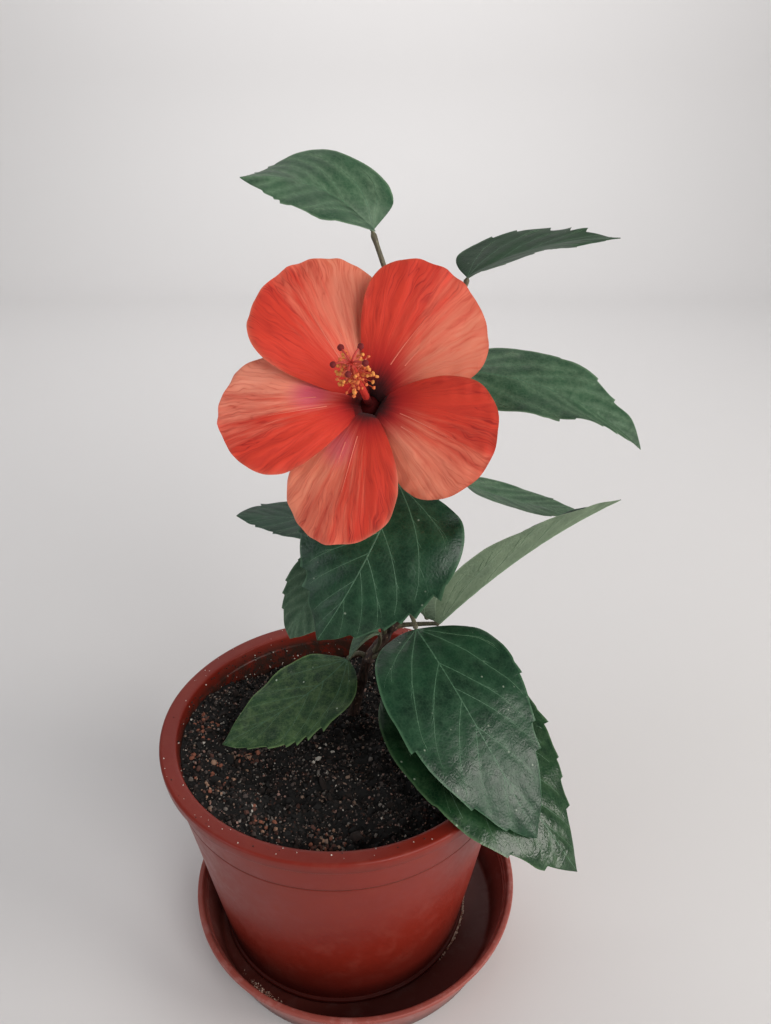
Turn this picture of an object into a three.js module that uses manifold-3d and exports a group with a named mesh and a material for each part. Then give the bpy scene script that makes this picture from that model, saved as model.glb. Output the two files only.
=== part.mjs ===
// A young potted hibiscus shrub: one leaning stem, thirteen leaves on their stalks and one open
// bloom, in a plastic pot that stands in its saucer. Millimetres, +Z up. The pot's axis is the
// Z axis, the surface that the saucer stands on is z = 0, and the bloom faces -Y.
import * as THREE from 'three';
import { ParametricGeometry } from 'three/addons/geometries/ParametricGeometry.js';
import { mergeVertices } from 'three/addons/utils/BufferGeometryUtils.js';
import Module from 'manifold-3d';

const wasm = await Module();
wasm.setup();

// ---------------------------------------------------------------- driving dimensions

const GAP = 0.3; // clearance between touching pieces

const POT = {
  rimRadius: 85,
  mouthRadius: 77,
  height: 121.4,
  collarHeight: 5.5,
  collarStep: 3,
  footRadius: 64,
  footHeight: 1.8,
  baseRadius: 62.5,
  wall: 2.4,
  floor: 3,
  edge: 1, // the softened edge of the rim
};

const SAUCER = {
  x: 6.5,
  y: -4,
  rimRadius: 82.5,
  rimWidth: 2.7,
  height: 25.5,
  footRadius: 73,
  floorRadius: 72,
  floor: 3.2,
  bead: 2.2,
  edge: 0.8, // the rounding of the rolled rim
};
const ROUND = 56; // facets round the pot, the saucer and the soil

const SOIL = { level: 105, crest: 106.5, crestRadius: 58, edge: 103.5, flatRadius: 40 };

// The stem's centre line, from the soil up to the growing tip.
const STEM = {
  path: [
    [5, 21, 105],
    [13, 25, 137],
    [22, 27, 151],
    [31, 26, 169],
    [36, 24, 205],
    [38, 23, 232],
    [39, 22, 268],
    [40, 21, 298],
  ],
  footRadius: 3.2,
  flare: 9, // height over which the foot narrows to the stem proper
  baseRadius: 2.6,
  tipRadius: 1.5,
  sides: 10,
  rows: 34,
  budLength: 9,
  budRadius: 1.9,
};

// A leaf runs from base to tip and its midrib passes through mid. stem is where its stalk leaves
// the stem, and via is a point that the stalk passes. roll turns the blade about its own length
// and twist is how much more it has turned at the tip. fold is how far both halves rise from the
// blade's plane, at the base and at the tip. lobe is how far the margin reaches back at the base.
const LEAVES = {
  top_left: {
    stem: [39, 21, 284], via: [26, 17, 318], base: [17, 18, 343], mid: [-3, 10, 359],
    tip: [-29, 0, 363], width: 44, roll: 34, twist: -16, fold: [38, -25], lobe: 9,
  },
  top_right: {
    stem: [40, 21, 289], via: [50, 27, 308], base: [55, 28, 324], mid: [82, 30, 335],
    tip: [113, 22, 340], width: 38, roll: -6, twist: 0, fold: [16, 6], lobe: 5,
  },
  right: {
    stem: [39, 22, 268], via: [42, 28, 282], base: [51, 27, 286], mid: [94, 22, 278],
    tip: [129, 10, 257], width: 37, roll: -28, twist: 15, fold: [-20, 35], lobe: 3,
  },
  right_small: {
    stem: [36, 24, 205], via: [47, 38, 222], base: [60, 46, 225], mid: [89, 44, 216],
    tip: [115, 38, 214], width: 27, roll: 0, twist: 0, fold: [10, 0], lobe: 3,
  },
  right_back: {
    stem: [25, 27, 157], via: [38, 24, 160], base: [48, 20, 163], mid: [87, 18, 199],
    tip: [127, 20, 229], width: 46, roll: 30, twist: 0, fold: [32, 25], lobe: 3,
  },
  left_small: {
    stem: [38, 23, 222], via: [25, 30, 226], base: [6, 28, 215], mid: [-22, 30, 215],
    tip: [-46, 24, 219], width: 36, roll: 5, twist: 0, fold: [0, 0], lobe: 3,
  },
  centre: {
    stem: [38, 23, 232], via: [33, 5, 250], base: [27, -12, 251], mid: [14, -36, 229],
    tip: [-5, -42, 197], width: 66, roll: 30, twist: 0, fold: [0, -8], lobe: 3,
  },
  left_behind: {
    stem: [22, 27, 151], via: [17, 20, 178], base: [9, 11, 201], mid: [-11, 4, 188],
    tip: [-21, -4, 171], width: 50, roll: 5, twist: 0, fold: [0, 0], lobe: 1,
  },
  low_left: {
    stem: [13, 25, 137], via: [9, 25, 142], base: [3, 21, 141], mid: [-21, 2, 130],
    tip: [-54, -16, 120], width: 46, roll: 5, twist: 0, fold: [0, 0], lobe: 1,
  },
  low_right: {
    stem: [30, 26, 168], via: [33, 13, 175], base: [36, 2, 172], mid: [56, -36, 158],
    tip: [85, -64, 113], width: 72, roll: 0, twist: 0, fold: [0, 0], lobe: 3,
  },
  low_right_under: {
    stem: [14, 25, 139], via: [25, 20, 146], base: [35, 4, 149], mid: [69, -42, 131],
    tip: [104, -63, 92], width: 82, roll: 0, twist: 0, fold: [0, 0], lobe: 3,
  },
  low_curl: {
    stem: [16, 26, 142], via: [19, 21, 151], base: [19, 17, 159], mid: [12, 15, 156],
    tip: [4, 14, 146], width: 14, roll: 0, twist: 0, fold: [50, 30], lobe: 0,
  },
  young: {
    stem: [33, 26, 178], via: [39, 14, 175], base: [41, 4, 177], mid: [40, 1, 185],
    tip: [45, 1, 191], width: 13, roll: 90, twist: 0, fold: [0, 0], lobe: 0,
  },
};
const BLADE = { thickness: 1, rows: 9, columns: 6 };
// seat is how far a stalk ends short of its leaf's base point, which leaves the blade its gap.
const STALK = { radius: 1.3, tipRadius: 0.95, seat: 0.8, sides: 7, rows: 6 };

// The bloom's own frame has its origin at the throat. Its axis points out of the bloom.
const BLOOM = { throat: [14.5, -24, 292], azimuth: -5, elevation: 30 };

// Each petal's angle from the bloom's right, counter-clockwise as seen from the front, its reach
// from the axis and its width. Each one lies over the next with its counter-clockwise margin.
const PETALS = {
  upper_left: { angle: 129, reach: 56, width: 49 },
  upper_right: { angle: 51, reach: 55, width: 50 },
  right: { angle: -28, reach: 52, width: 48 },
  bottom: { angle: -102, reach: 56, width: 43 },
  left: { angle: 195, reach: 54, width: 46 },
};
const PETAL = {
  thickness: 0.7,
  rows: 10,
  columns: 6,
  clawRadius: 3.6,
  clawDepth: 20,
  bellyRadius: 6,
  bellyRise: 5,
  tipRise: 4,
  tilt: 13,
  recurve: 2,
};

// The column's centre line as right, up and out of the throat.
const COLUMN = {
  path: [
    [0, 0, -20.4],
    [0, 0, 0],
    [-1, 3, 11],
    [-3, 8, 22],
  ],
  radius: 1.5,
  tipRadius: 1.1,
  sides: 8,
  rows: 12,
  styleLength: 6,
  styleSpread: 50,
  styleRadius: 0.45,
  padRadius: 1.2,
  styles: 5,
};

const CALYX = {
  floorDepth: 20.7,
  bottomDepth: 35,
  stalkRadius: 2.2,
  bellyDepth: 27,
  bellyRadius: 5.8,
  lipDepth: 15,
  lipRadius: 7.4,
  toothLength: 4,
  teeth: 5,
  wall: 0.9,
  sides: 30,
};
// The bloom's stalk leaves the stem towards via and runs straight into the calyx over its neck.
const PEDICEL = { stem: [39, 22, 276], via: [30, 8, 271], neck: 14, radius: 1.6, rows: 10 };

// ---------------------------------------------------------------- finishes

const finish = (color, roughness) => new THREE.MeshStandardMaterial({ color, roughness, metalness: 0 });
const FINISH = {
  pot: finish(0x8c3a2c, 0.45),
  saucer: finish(0xa05040, 0.45),
  soil: finish(0x231d1a, 0.95),
  stem: finish(0x4a4036, 0.75),
  stalk: finish(0x5a5f45, 0.6),
  leaf: finish(0x1f4a35, 0.4),
  petal: finish(0xd8503c, 0.6),
  calyx: finish(0x4f7a45, 0.6),
  column: finish(0xb3261f, 0.5),
};

// ---------------------------------------------------------------- helpers

const vec = (a) => new THREE.Vector3(...a);
const lerp = THREE.MathUtils.lerp;
const rad = THREE.MathUtils.degToRad;
const UP = vec([0, 0, 1]);

/** A closed skin: point(u, v) goes once round as u runs from 0 to 1, and the rows at v = 0 and
 *  v = 1 are single points. */
function closedSkin(point, around, along) {
  const skin = new ParametricGeometry((u, v, target) => target.copy(point(u % 1, v)), around, along);
  skin.deleteAttribute('normal');
  skin.deleteAttribute('uv');
  return mergeVertices(skin, 1e-4);
}

/** A thin blade with sharp margins. surface(t, s) gives the point and the facing at t from base
 *  to tip and s from -1 to 1 across. */
function bladeGeometry(surface, { thickness, rows, columns }) {
  const around = 2 * columns;
  const along = rows + 1;
  return closedSkin(
    (u, v) => {
      const k = Math.round(u * around);
      const row = Math.round(v * along);
      const t = Math.max(row - 1, 0) / rows;
      const s = row === 0 ? 0 : 1 - (2 * Math.abs(columns - k)) / columns;
      const side = k < columns ? 1 : -1;
      const { point, facing } = surface(t, s);
      const isEnd = row === 0 || row === along;
      const half = isEnd ? 0 : (thickness / 2) * Math.sqrt(1 - s * s) * (1 - 0.6 * t);
      return point.addScaledVector(facing, side * half);
    },
    around,
    along,
  );
}

/** A tapering limb round a curve, with flat ends. radius(t) is its radius along the curve. */
function limbGeometry(curve, radius, sides, rows) {
  const along = rows + 2;
  const frames = curve.computeFrenetFrames(rows, false);
  return closedSkin(
    (u, v) => {
      const row = THREE.MathUtils.clamp(Math.round(v * along) - 1, 0, rows);
      const isEnd = v === 0 || v === 1;
      const t = row / rows;
      const point = curve.getPointAt(t);
      const angle = 2 * Math.PI * u;
      const r = isEnd ? 0 : radius(t);
      point.addScaledVector(frames.normals[row], r * Math.cos(angle));
      return point.addScaledVector(frames.binormals[row], r * Math.sin(angle));
    },
    sides,
    along,
  );
}

/** The quadratic curve that starts at from, ends at to and passes through via half way. */
function curveThrough(from, via, to) {
  const handle = vec(via).multiplyScalar(2).addScaledVector(vec(from), -0.5).addScaledVector(vec(to), -0.5);
  return new THREE.QuadraticBezierCurve3(vec(from), handle, vec(to));
}

function lathe(profile, segments) {
  const points = profile.map(([r, z]) => new THREE.Vector2(r, z));
  return new THREE.LatheGeometry(points, segments).rotateX(Math.PI / 2);
}

function toSolid(geometry) {
  const bare = geometry.clone();
  bare.deleteAttribute('normal');
  bare.deleteAttribute('uv');
  const welded = mergeVertices(bare, 1e-4);
  const { Manifold, Mesh } = wasm;
  const vertProperties = new Float32Array(welded.attributes.position.array);
  const triVerts = new Uint32Array(welded.index.array);
  return new Manifold(new Mesh({ numProp: 3, vertProperties, triVerts }));
}

function toGeometry(solid) {
  const { vertProperties, triVerts, numProp } = solid.getMesh();
  const positions = new Float32Array((vertProperties.length / numProp) * 3);
  for (let i = 0; i < positions.length / 3; i += 1) {
    positions.set(vertProperties.subarray(i * numProp, i * numProp + 3), i * 3);
  }
  const geometry = new THREE.BufferGeometry();
  geometry.setAttribute('position', new THREE.BufferAttribute(positions, 3));
  geometry.setIndex(new THREE.BufferAttribute(triVerts, 1));
  return geometry;
}

function named(name, geometry, material) {
  const mesh = new THREE.Mesh(geometry, material);
  mesh.name = name;
  return mesh;
}

// ---------------------------------------------------------------- pot, saucer and soil

const saucerFloor = SAUCER.floor;
const potFoot = saucerFloor + GAP;
const potFloor = potFoot + POT.floor;
const collarFoot = POT.height - POT.collarHeight;
const bodyTopRadius = POT.rimRadius - POT.collarStep;

/** The pot's outer radius at height z, between its foot and its collar. */
const potBodyRadius = (z) =>
  lerp(POT.baseRadius, bodyTopRadius, (z - potFoot - POT.footHeight) / (collarFoot - potFoot - POT.footHeight));
const potInnerRadius = (z) =>
  lerp(POT.baseRadius - POT.wall, POT.mouthRadius, (z - potFloor) / (POT.height - potFloor));

function potGeometry() {
  const bodyFoot = potFoot + POT.footHeight;
  return lathe(
    [
      [0, potFoot],
      [POT.footRadius, potFoot],
      [POT.footRadius, bodyFoot],
      [POT.baseRadius, bodyFoot],
      [bodyTopRadius, collarFoot],
      [POT.rimRadius - POT.edge / 2, collarFoot],
      [POT.rimRadius, POT.height - POT.edge],
      [POT.rimRadius - POT.edge, POT.height],
      [POT.mouthRadius, POT.height],
      [potInnerRadius(potFloor), potFloor],
      [0, potFloor],
    ],
    ROUND,
  );
}

function saucerGeometry() {
  const innerRim = SAUCER.rimRadius - SAUCER.rimWidth;
  const beadFoot = SAUCER.height - SAUCER.bead;
  return lathe(
    [
      [0, 0],
      [SAUCER.footRadius, 0],
      [SAUCER.rimRadius - SAUCER.edge, beadFoot],
      [SAUCER.rimRadius, SAUCER.height - SAUCER.edge],
      [SAUCER.rimRadius - SAUCER.edge, SAUCER.height],
      [innerRim, SAUCER.height - SAUCER.edge],
      [SAUCER.floorRadius, saucerFloor],
      [0, saucerFloor],
    ],
    ROUND,
  ).translate(SAUCER.x, SAUCER.y, 0);
}

function soilGeometry() {
  const foot = potFloor + GAP;
  // A facet's middle lies inside its corners' circle, so the soil keeps a little more clearance.
  const clearance = 2 * GAP;
  return lathe(
    [
      [0, foot],
      [potInnerRadius(foot) - clearance, foot],
      [potInnerRadius(SOIL.edge) - clearance, SOIL.edge],
      [SOIL.crestRadius, SOIL.crest],
      [SOIL.flatRadius, SOIL.level],
      [0, SOIL.level],
    ],
    ROUND,
  );
}

// ---------------------------------------------------------------- stem and bud

const stemCurve = new THREE.CatmullRomCurve3(STEM.path.map(vec), false, 'catmullrom', 0.5);

function stemGeometry(grow) {
  const length = stemCurve.getLength();
  const radius = (t) => {
    const flare = Math.max(0, 1 - (t * length) / STEM.flare) ** 2;
    return lerp(STEM.baseRadius, STEM.tipRadius, t) + (STEM.footRadius - STEM.baseRadius) * flare + grow;
  };
  return limbGeometry(stemCurve, radius, STEM.sides, STEM.rows);
}

const stemSolid = toSolid(stemGeometry(0));
const stemAndClearance = toSolid(stemGeometry(GAP));

/** The stem with its flat cut a gap above the soil. */
function cutStem() {
  const depth = 20;
  const ground = new THREE.BoxGeometry(4 * depth, 4 * depth, depth);
  ground.translate(STEM.path[0][0], STEM.path[0][1], SOIL.level + GAP - depth / 2);
  return toGeometry(stemSolid.subtract(toSolid(ground)));
}

/** The growing tip: a pointed bud a gap above the stem's end. */
function budGeometry() {
  const { budLength: length, budRadius: radius } = STEM;
  const bud = lathe(
    [
      [0, 0],
      [STEM.tipRadius, 0],
      [radius, 0.3 * length],
      [0.65 * radius, 0.7 * length],
      [0, length],
    ],
    STEM.sides,
  );
  const along = stemCurve.getTangentAt(1);
  bud.applyQuaternion(new THREE.Quaternion().setFromUnitVectors(UP, along));
  const seat = stemCurve.getPointAt(1).addScaledVector(along, GAP);
  return bud.translate(seat.x, seat.y, seat.z);
}

// ---------------------------------------------------------------- leaves

/** A leaf's half width at t as a share of its greatest: full near the base, drawn to a point. */
const OUTLINE = { base: 0.48, tip: 0.88 };
const outlinePeak = OUTLINE.base / (OUTLINE.base + OUTLINE.tip);
const leafOutline = (t) =>
  (t / outlinePeak) ** OUTLINE.base * ((1 - t) / (1 - outlinePeak)) ** OUTLINE.tip;

function leafSurface(leaf) {
  const base = vec(leaf.base);
  const tip = vec(leaf.tip);
  const midrib = curveThrough(leaf.base, leaf.mid, leaf.tip);
  const chord = tip.clone().sub(base).normalize();
  const level = chord.clone().cross(UP).normalize();
  return (t, s) => {
    const along = midrib.getTangent(t);
    const roll = -rad(leaf.roll + leaf.twist * (t - 0.5));
    const across = level.clone().applyAxisAngle(chord, roll);
    across.addScaledVector(along, -across.dot(along)).normalize();
    const facing = across.clone().cross(along);
    const rise = rad(lerp(leaf.fold[0], leaf.fold[1], t));
    const stalkShare = 1.2 / leaf.width; // the blade is never narrower than its stalk's end
    const reach = Math.abs(s) * (leaf.width / 2) * Math.max(leafOutline(t), stalkShare * (1 - t));
    const back = leaf.lobe * s * s * Math.sin(Math.PI * Math.min(t / 0.4, 1));
    const point = midrib.getPoint(t);
    point.addScaledVector(across, Math.sign(s) * reach * Math.cos(rise));
    point.addScaledVector(facing, reach * Math.sin(rise));
    point.addScaledVector(along, -back);
    facing.multiplyScalar(Math.cos(rise)).addScaledVector(across, -Math.sign(s) * Math.sin(rise));
    return { point, facing: facing.normalize() };
  };
}

/** A leaf's stalk, from the stem's bark to a gap short of the blade. */
function stalkGeometry(leaf) {
  const curve = curveThrough(leaf.stem, leaf.via, leaf.base);
  const end = curve.getTangent(1);
  const shortened = vec(leaf.base).addScaledVector(end, -STALK.seat);
  const path = curveThrough(leaf.stem, leaf.via, shortened.toArray());
  const radius = (t) => lerp(STALK.radius, STALK.tipRadius, t);
  const stalk = toSolid(limbGeometry(path, radius, STALK.sides, STALK.rows));
  return toGeometry(stalk.subtract(stemAndClearance));
}

// ---------------------------------------------------------------- bloom

const bloomAxis = new THREE.Vector3(
  Math.sin(rad(BLOOM.azimuth)) * Math.cos(rad(BLOOM.elevation)),
  -Math.cos(rad(BLOOM.azimuth)) * Math.cos(rad(BLOOM.elevation)),
  Math.sin(rad(BLOOM.elevation)),
);
const bloomRight = bloomAxis.clone().cross(UP).negate().normalize();
const bloomUp = bloomAxis.clone().cross(bloomRight);

/** A point of the bloom's frame: right and up across it, and out along its axis. */
const inBloom = (right, up, out) =>
  vec(BLOOM.throat)
    .addScaledVector(bloomRight, right)
    .addScaledVector(bloomUp, up)
    .addScaledVector(bloomAxis, out);

/** A petal's half width as a share of its greatest, at a share of its reach from the axis: a
 *  narrow claw and a blunt round end. */
const petalOutline = (share) => 0.06 * (1 - share) + Math.max(Math.sin(Math.PI * share ** 1.9), 0) ** 0.55;

function petalSurface({ angle, reach, width }) {
  const a = rad(angle);
  const outward = inBloom(Math.cos(a), Math.sin(a), 0).sub(vec(BLOOM.throat));
  const clockwise = inBloom(Math.sin(a), -Math.cos(a), 0).sub(vec(BLOOM.throat));
  const tilt = rad(PETAL.tilt);
  const profile = new THREE.QuadraticBezierCurve(
    new THREE.Vector2(PETAL.clawRadius, -PETAL.clawDepth),
    new THREE.Vector2(PETAL.bellyRadius, PETAL.bellyRise),
    new THREE.Vector2(reach, PETAL.tipRise),
  );
  return (t, s) => {
    const { x: radius, y: rise } = profile.getPoint(t);
    const slope = profile.getTangent(t);
    const spread = s * petalOutline((radius - PETAL.clawRadius) / (reach - PETAL.clawRadius));
    const half = (spread * width) / 2;
    const point = vec(BLOOM.throat).addScaledVector(outward, radius);
    point.addScaledVector(bloomAxis, rise - half * Math.sin(tilt) - PETAL.recurve * spread * spread * t);
    point.addScaledVector(clockwise, half * Math.cos(tilt));
    const facing = bloomAxis.clone().multiplyScalar(slope.x).addScaledVector(outward, -slope.y);
    return { point, facing: facing.addScaledVector(clockwise, Math.sin(tilt)).normalize() };
  };
}

/** The stamen column with its five short styles, each ending in a round pad. */
function columnGeometry() {
  const curve = new THREE.CatmullRomCurve3(
    COLUMN.path.map((p) => inBloom(...p)),
    false,
    'catmullrom',
    0.5,
  );
  const radius = (t) => lerp(COLUMN.radius, COLUMN.tipRadius, t);
  let column = toSolid(limbGeometry(curve, radius, COLUMN.sides, COLUMN.rows));
  const tip = curve.getPointAt(0.98);
  const along = curve.getTangentAt(1);
  const first = along.clone().cross(bloomRight).normalize();
  for (let i = 0; i < COLUMN.styles; i += 1) {
    const turn = ((i + 0.5) * 2 * Math.PI) / COLUMN.styles;
    const spread = first.clone().applyAxisAngle(along, turn);
    const lean = rad(COLUMN.styleSpread);
    const way = along.clone().multiplyScalar(Math.cos(lean)).addScaledVector(spread, Math.sin(lean));
    const end = tip.clone().addScaledVector(way, COLUMN.styleLength);
    const style = limbGeometry(new THREE.LineCurve3(tip, end), () => COLUMN.styleRadius, 6, 1);
    const pad = new THREE.OctahedronGeometry(COLUMN.padRadius, 1).translate(end.x, end.y, end.z);
    column = column.add(toSolid(style)).add(toSolid(pad));
  }
  return toGeometry(column);
}

/** The calyx: a cup with pointed teeth, open where the petals stand in it. */
function calyxGeometry() {
  const { bottomDepth, bellyDepth, floorDepth, lipDepth, wall } = CALYX;
  const tooth = (angle) => CALYX.toothLength * Math.abs(Math.cos((CALYX.teeth * angle) / 2)) ** 1.5;
  const rows = [
    () => [0, -bottomDepth],
    () => [CALYX.stalkRadius, -bottomDepth],
    () => [CALYX.bellyRadius, -bellyDepth],
    () => [CALYX.bellyRadius + 0.4, -floorDepth],
    (a) => [CALYX.lipRadius, -lipDepth - CALYX.toothLength / 2 + tooth(a)],
    (a) => [CALYX.lipRadius - wall, -lipDepth - CALYX.toothLength / 2 + tooth(a)],
    () => [CALYX.bellyRadius + 0.4 - wall, -floorDepth],
    () => [0, -floorDepth],
  ];
  return closedSkin(
    (u, v) => {
      const angle = 2 * Math.PI * u;
      const [radius, depth] = rows[Math.round(v * (rows.length - 1))](angle);
      return inBloom(radius * Math.cos(angle), radius * Math.sin(angle), depth);
    },
    CALYX.sides,
    rows.length - 1,
  );
}

/** The bloom's own stalk, from the stem's bark to a gap below the calyx. */
function pedicelGeometry() {
  const end = inBloom(0, 0, -CALYX.bottomDepth - GAP);
  const handle = inBloom(0, 0, -CALYX.bottomDepth - PEDICEL.neck);
  const curve = new THREE.CubicBezierCurve3(vec(PEDICEL.stem), vec(PEDICEL.via), handle, end);
  const stalk = toSolid(limbGeometry(curve, () => PEDICEL.radius, STALK.sides, PEDICEL.rows));
  return toGeometry(stalk.subtract(stemAndClearance));
}

// ---------------------------------------------------------------- the shrub

const shrub = new THREE.Group();
shrub.add(named('saucer', saucerGeometry(), FINISH.saucer));
shrub.add(named('pot', potGeometry(), FINISH.pot));
shrub.add(named('soil', soilGeometry(), FINISH.soil));
shrub.add(named('main_stem', cutStem(), FINISH.stem));
shrub.add(named('tip_bud', budGeometry(), FINISH.leaf));

for (const [name, leaf] of Object.entries(LEAVES)) {
  shrub.add(named(`stalk_${name}`, stalkGeometry(leaf), FINISH.stalk));
  shrub.add(named(`leaf_${name}`, bladeGeometry(leafSurface(leaf), BLADE), FINISH.leaf));
}

shrub.add(named('flower_stalk', pedicelGeometry(), FINISH.stalk));
shrub.add(named('calyx', calyxGeometry(), FINISH.calyx));
for (const [name, petal] of Object.entries(PETALS)) {
  shrub.add(named(`petal_${name}`, bladeGeometry(petalSurface(petal), PETAL), FINISH.petal));
}
shrub.add(named('stamen_column', columnGeometry(), FINISH.column));

export default shrub;
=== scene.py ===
"""Looks of a young potted hibiscus shrub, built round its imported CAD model.

Sizes and places are in millimetres, in the frame of the CAD model, and become metres when a mesh
is made. +Z is up, the pot's axis is the Z axis and the bloom faces -Y.
"""

import logging
import math
from dataclasses import dataclass, field
from enum import Enum

import bmesh
import bpy
import numpy as np
from mathutils import Matrix


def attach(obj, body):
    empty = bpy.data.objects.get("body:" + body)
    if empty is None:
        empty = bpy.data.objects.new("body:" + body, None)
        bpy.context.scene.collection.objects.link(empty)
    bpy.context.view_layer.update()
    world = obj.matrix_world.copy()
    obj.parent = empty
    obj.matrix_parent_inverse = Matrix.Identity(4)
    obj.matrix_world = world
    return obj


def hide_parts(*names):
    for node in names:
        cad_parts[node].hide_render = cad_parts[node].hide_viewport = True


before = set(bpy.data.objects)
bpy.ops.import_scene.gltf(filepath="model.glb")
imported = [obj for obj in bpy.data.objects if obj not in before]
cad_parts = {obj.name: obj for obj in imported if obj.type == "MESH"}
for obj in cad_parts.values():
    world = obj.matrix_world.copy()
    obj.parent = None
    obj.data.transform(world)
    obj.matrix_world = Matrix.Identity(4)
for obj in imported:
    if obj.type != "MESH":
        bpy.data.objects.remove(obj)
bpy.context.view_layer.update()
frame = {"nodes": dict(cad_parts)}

log = logging.getLogger("hibiscus")

MM = 0.001
UP = np.array([0.0, 0.0, 1.0])
FULL_TURN = 2 * math.pi
SHARP = math.radians(50)  # edges that turn more than this stay crisp
BLEND = {"out": 2, "data_type": "RGBA"}  # what a node that mixes two colours is set to
EASED = {"interpolation_type": "SMOOTHSTEP"}

Point = tuple[float, float, float]


# ---------------------------------------------------------------- small mathematics


def unit(a: np.ndarray) -> np.ndarray:
    """The vectors of a, each at length one."""
    return a / np.maximum(np.linalg.norm(a, axis=-1, keepdims=True), 1e-12)


def mix(a: float, b: float, t: np.ndarray) -> np.ndarray:
    """The value at t on the way from a to b."""
    return a + (b - a) * t


def smooth(low: float, high: float, x: np.ndarray) -> np.ndarray:
    """0 below low, 1 above high and an S-curve between."""
    t = np.clip((x - low) / (high - low), 0, 1)
    return t * t * (3 - 2 * t)


def bell(x: np.ndarray, middle: float, width: float) -> np.ndarray:
    """A bump of height one round middle."""
    return np.exp(-(((x - middle) / width) ** 2))


def round_angles(count: int) -> np.ndarray:
    """Evenly spaced angles of one full turn."""
    return np.linspace(0, FULL_TURN, count, endpoint=False)


def turned(a: np.ndarray, axis: np.ndarray, angle: np.ndarray) -> np.ndarray:
    """Vectors turned about an axis.

    Args:
        a: The vectors, in the last dimension.
        axis: The unit axis.
        angle: Radians, one for each vector or one for all.

    Returns:
        The turned vectors.
    """
    c = np.cos(angle)[..., None]
    s = np.sin(angle)[..., None]
    along = np.sum(a * axis, axis=-1, keepdims=True)
    return a * c + np.cross(axis, a) * s + axis * along * (1 - c)


@dataclass(frozen=True)
class Ripples:
    """Seeded smooth unevenness: a sum of sine waves that run in random directions."""

    length: float
    seed: int
    count: int = 8

    def at(self, points: np.ndarray) -> np.ndarray:
        """The unevenness at points, mostly from -1 to 1."""
        rng = np.random.default_rng(self.seed)
        total = np.zeros(points.shape[:-1])
        for _ in range(self.count):
            way = unit(rng.normal(size=points.shape[-1]))
            pace = FULL_TURN / (self.length * rng.uniform(0.6, 1.7))
            total = total + np.sin(points @ way * pace + rng.uniform(0, FULL_TURN))
        return total * math.sqrt(2 / self.count) / 1.5


@dataclass(frozen=True)
class Bend:
    """A quadratic curve from start to end that passes through via half way."""

    start: Point | np.ndarray
    via: Point | np.ndarray
    end: Point | np.ndarray

    @property
    def handle(self) -> np.ndarray:
        """The curve's middle control point."""
        return 2 * np.array(self.via) - (np.array(self.start) + np.array(self.end)) / 2

    def at(self, t: np.ndarray) -> np.ndarray:
        """The points at t, from 0 to 1."""
        t = np.asarray(t, float)[..., None]
        start, end = np.array(self.start), np.array(self.end)
        return (1 - t) ** 2 * start + 2 * t * (1 - t) * self.handle + t**2 * end

    def way(self, t: np.ndarray) -> np.ndarray:
        """The unit directions at t."""
        t = np.asarray(t, float)[..., None]
        start, end = np.array(self.start), np.array(self.end)
        return unit((1 - t) * (self.handle - start) + t * (end - self.handle))


def through(points: np.ndarray, steps: int) -> np.ndarray:
    """A smooth line through points, evenly spaced.

    Args:
        points: The points that the line passes through.
        steps: How many points the line gets.

    Returns:
        The line's points.
    """
    points = np.asarray(points, float)
    padded = np.vstack([2 * points[0] - points[1], points, 2 * points[-1] - points[-2]])
    t = np.linspace(0, 1, 40, endpoint=False)[:, None]
    pieces = []
    for a, b, c, d in zip(padded, padded[1:], padded[2:], padded[3:]):
        bend = (2 * a - 5 * b + 4 * c - d) * t**2 + (3 * b - a - 3 * c + d) * t**3
        pieces.append(b + 0.5 * ((c - a) * t + bend))
    line = np.vstack([*pieces, points[-1:]])
    run = np.concatenate([[0], np.cumsum(np.linalg.norm(np.diff(line, axis=0), axis=1))])
    places = np.linspace(0, run[-1], steps)
    return np.stack([np.interp(places, run, line[:, i]) for i in range(3)], axis=-1)


# ---------------------------------------------------------------- meshes


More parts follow.
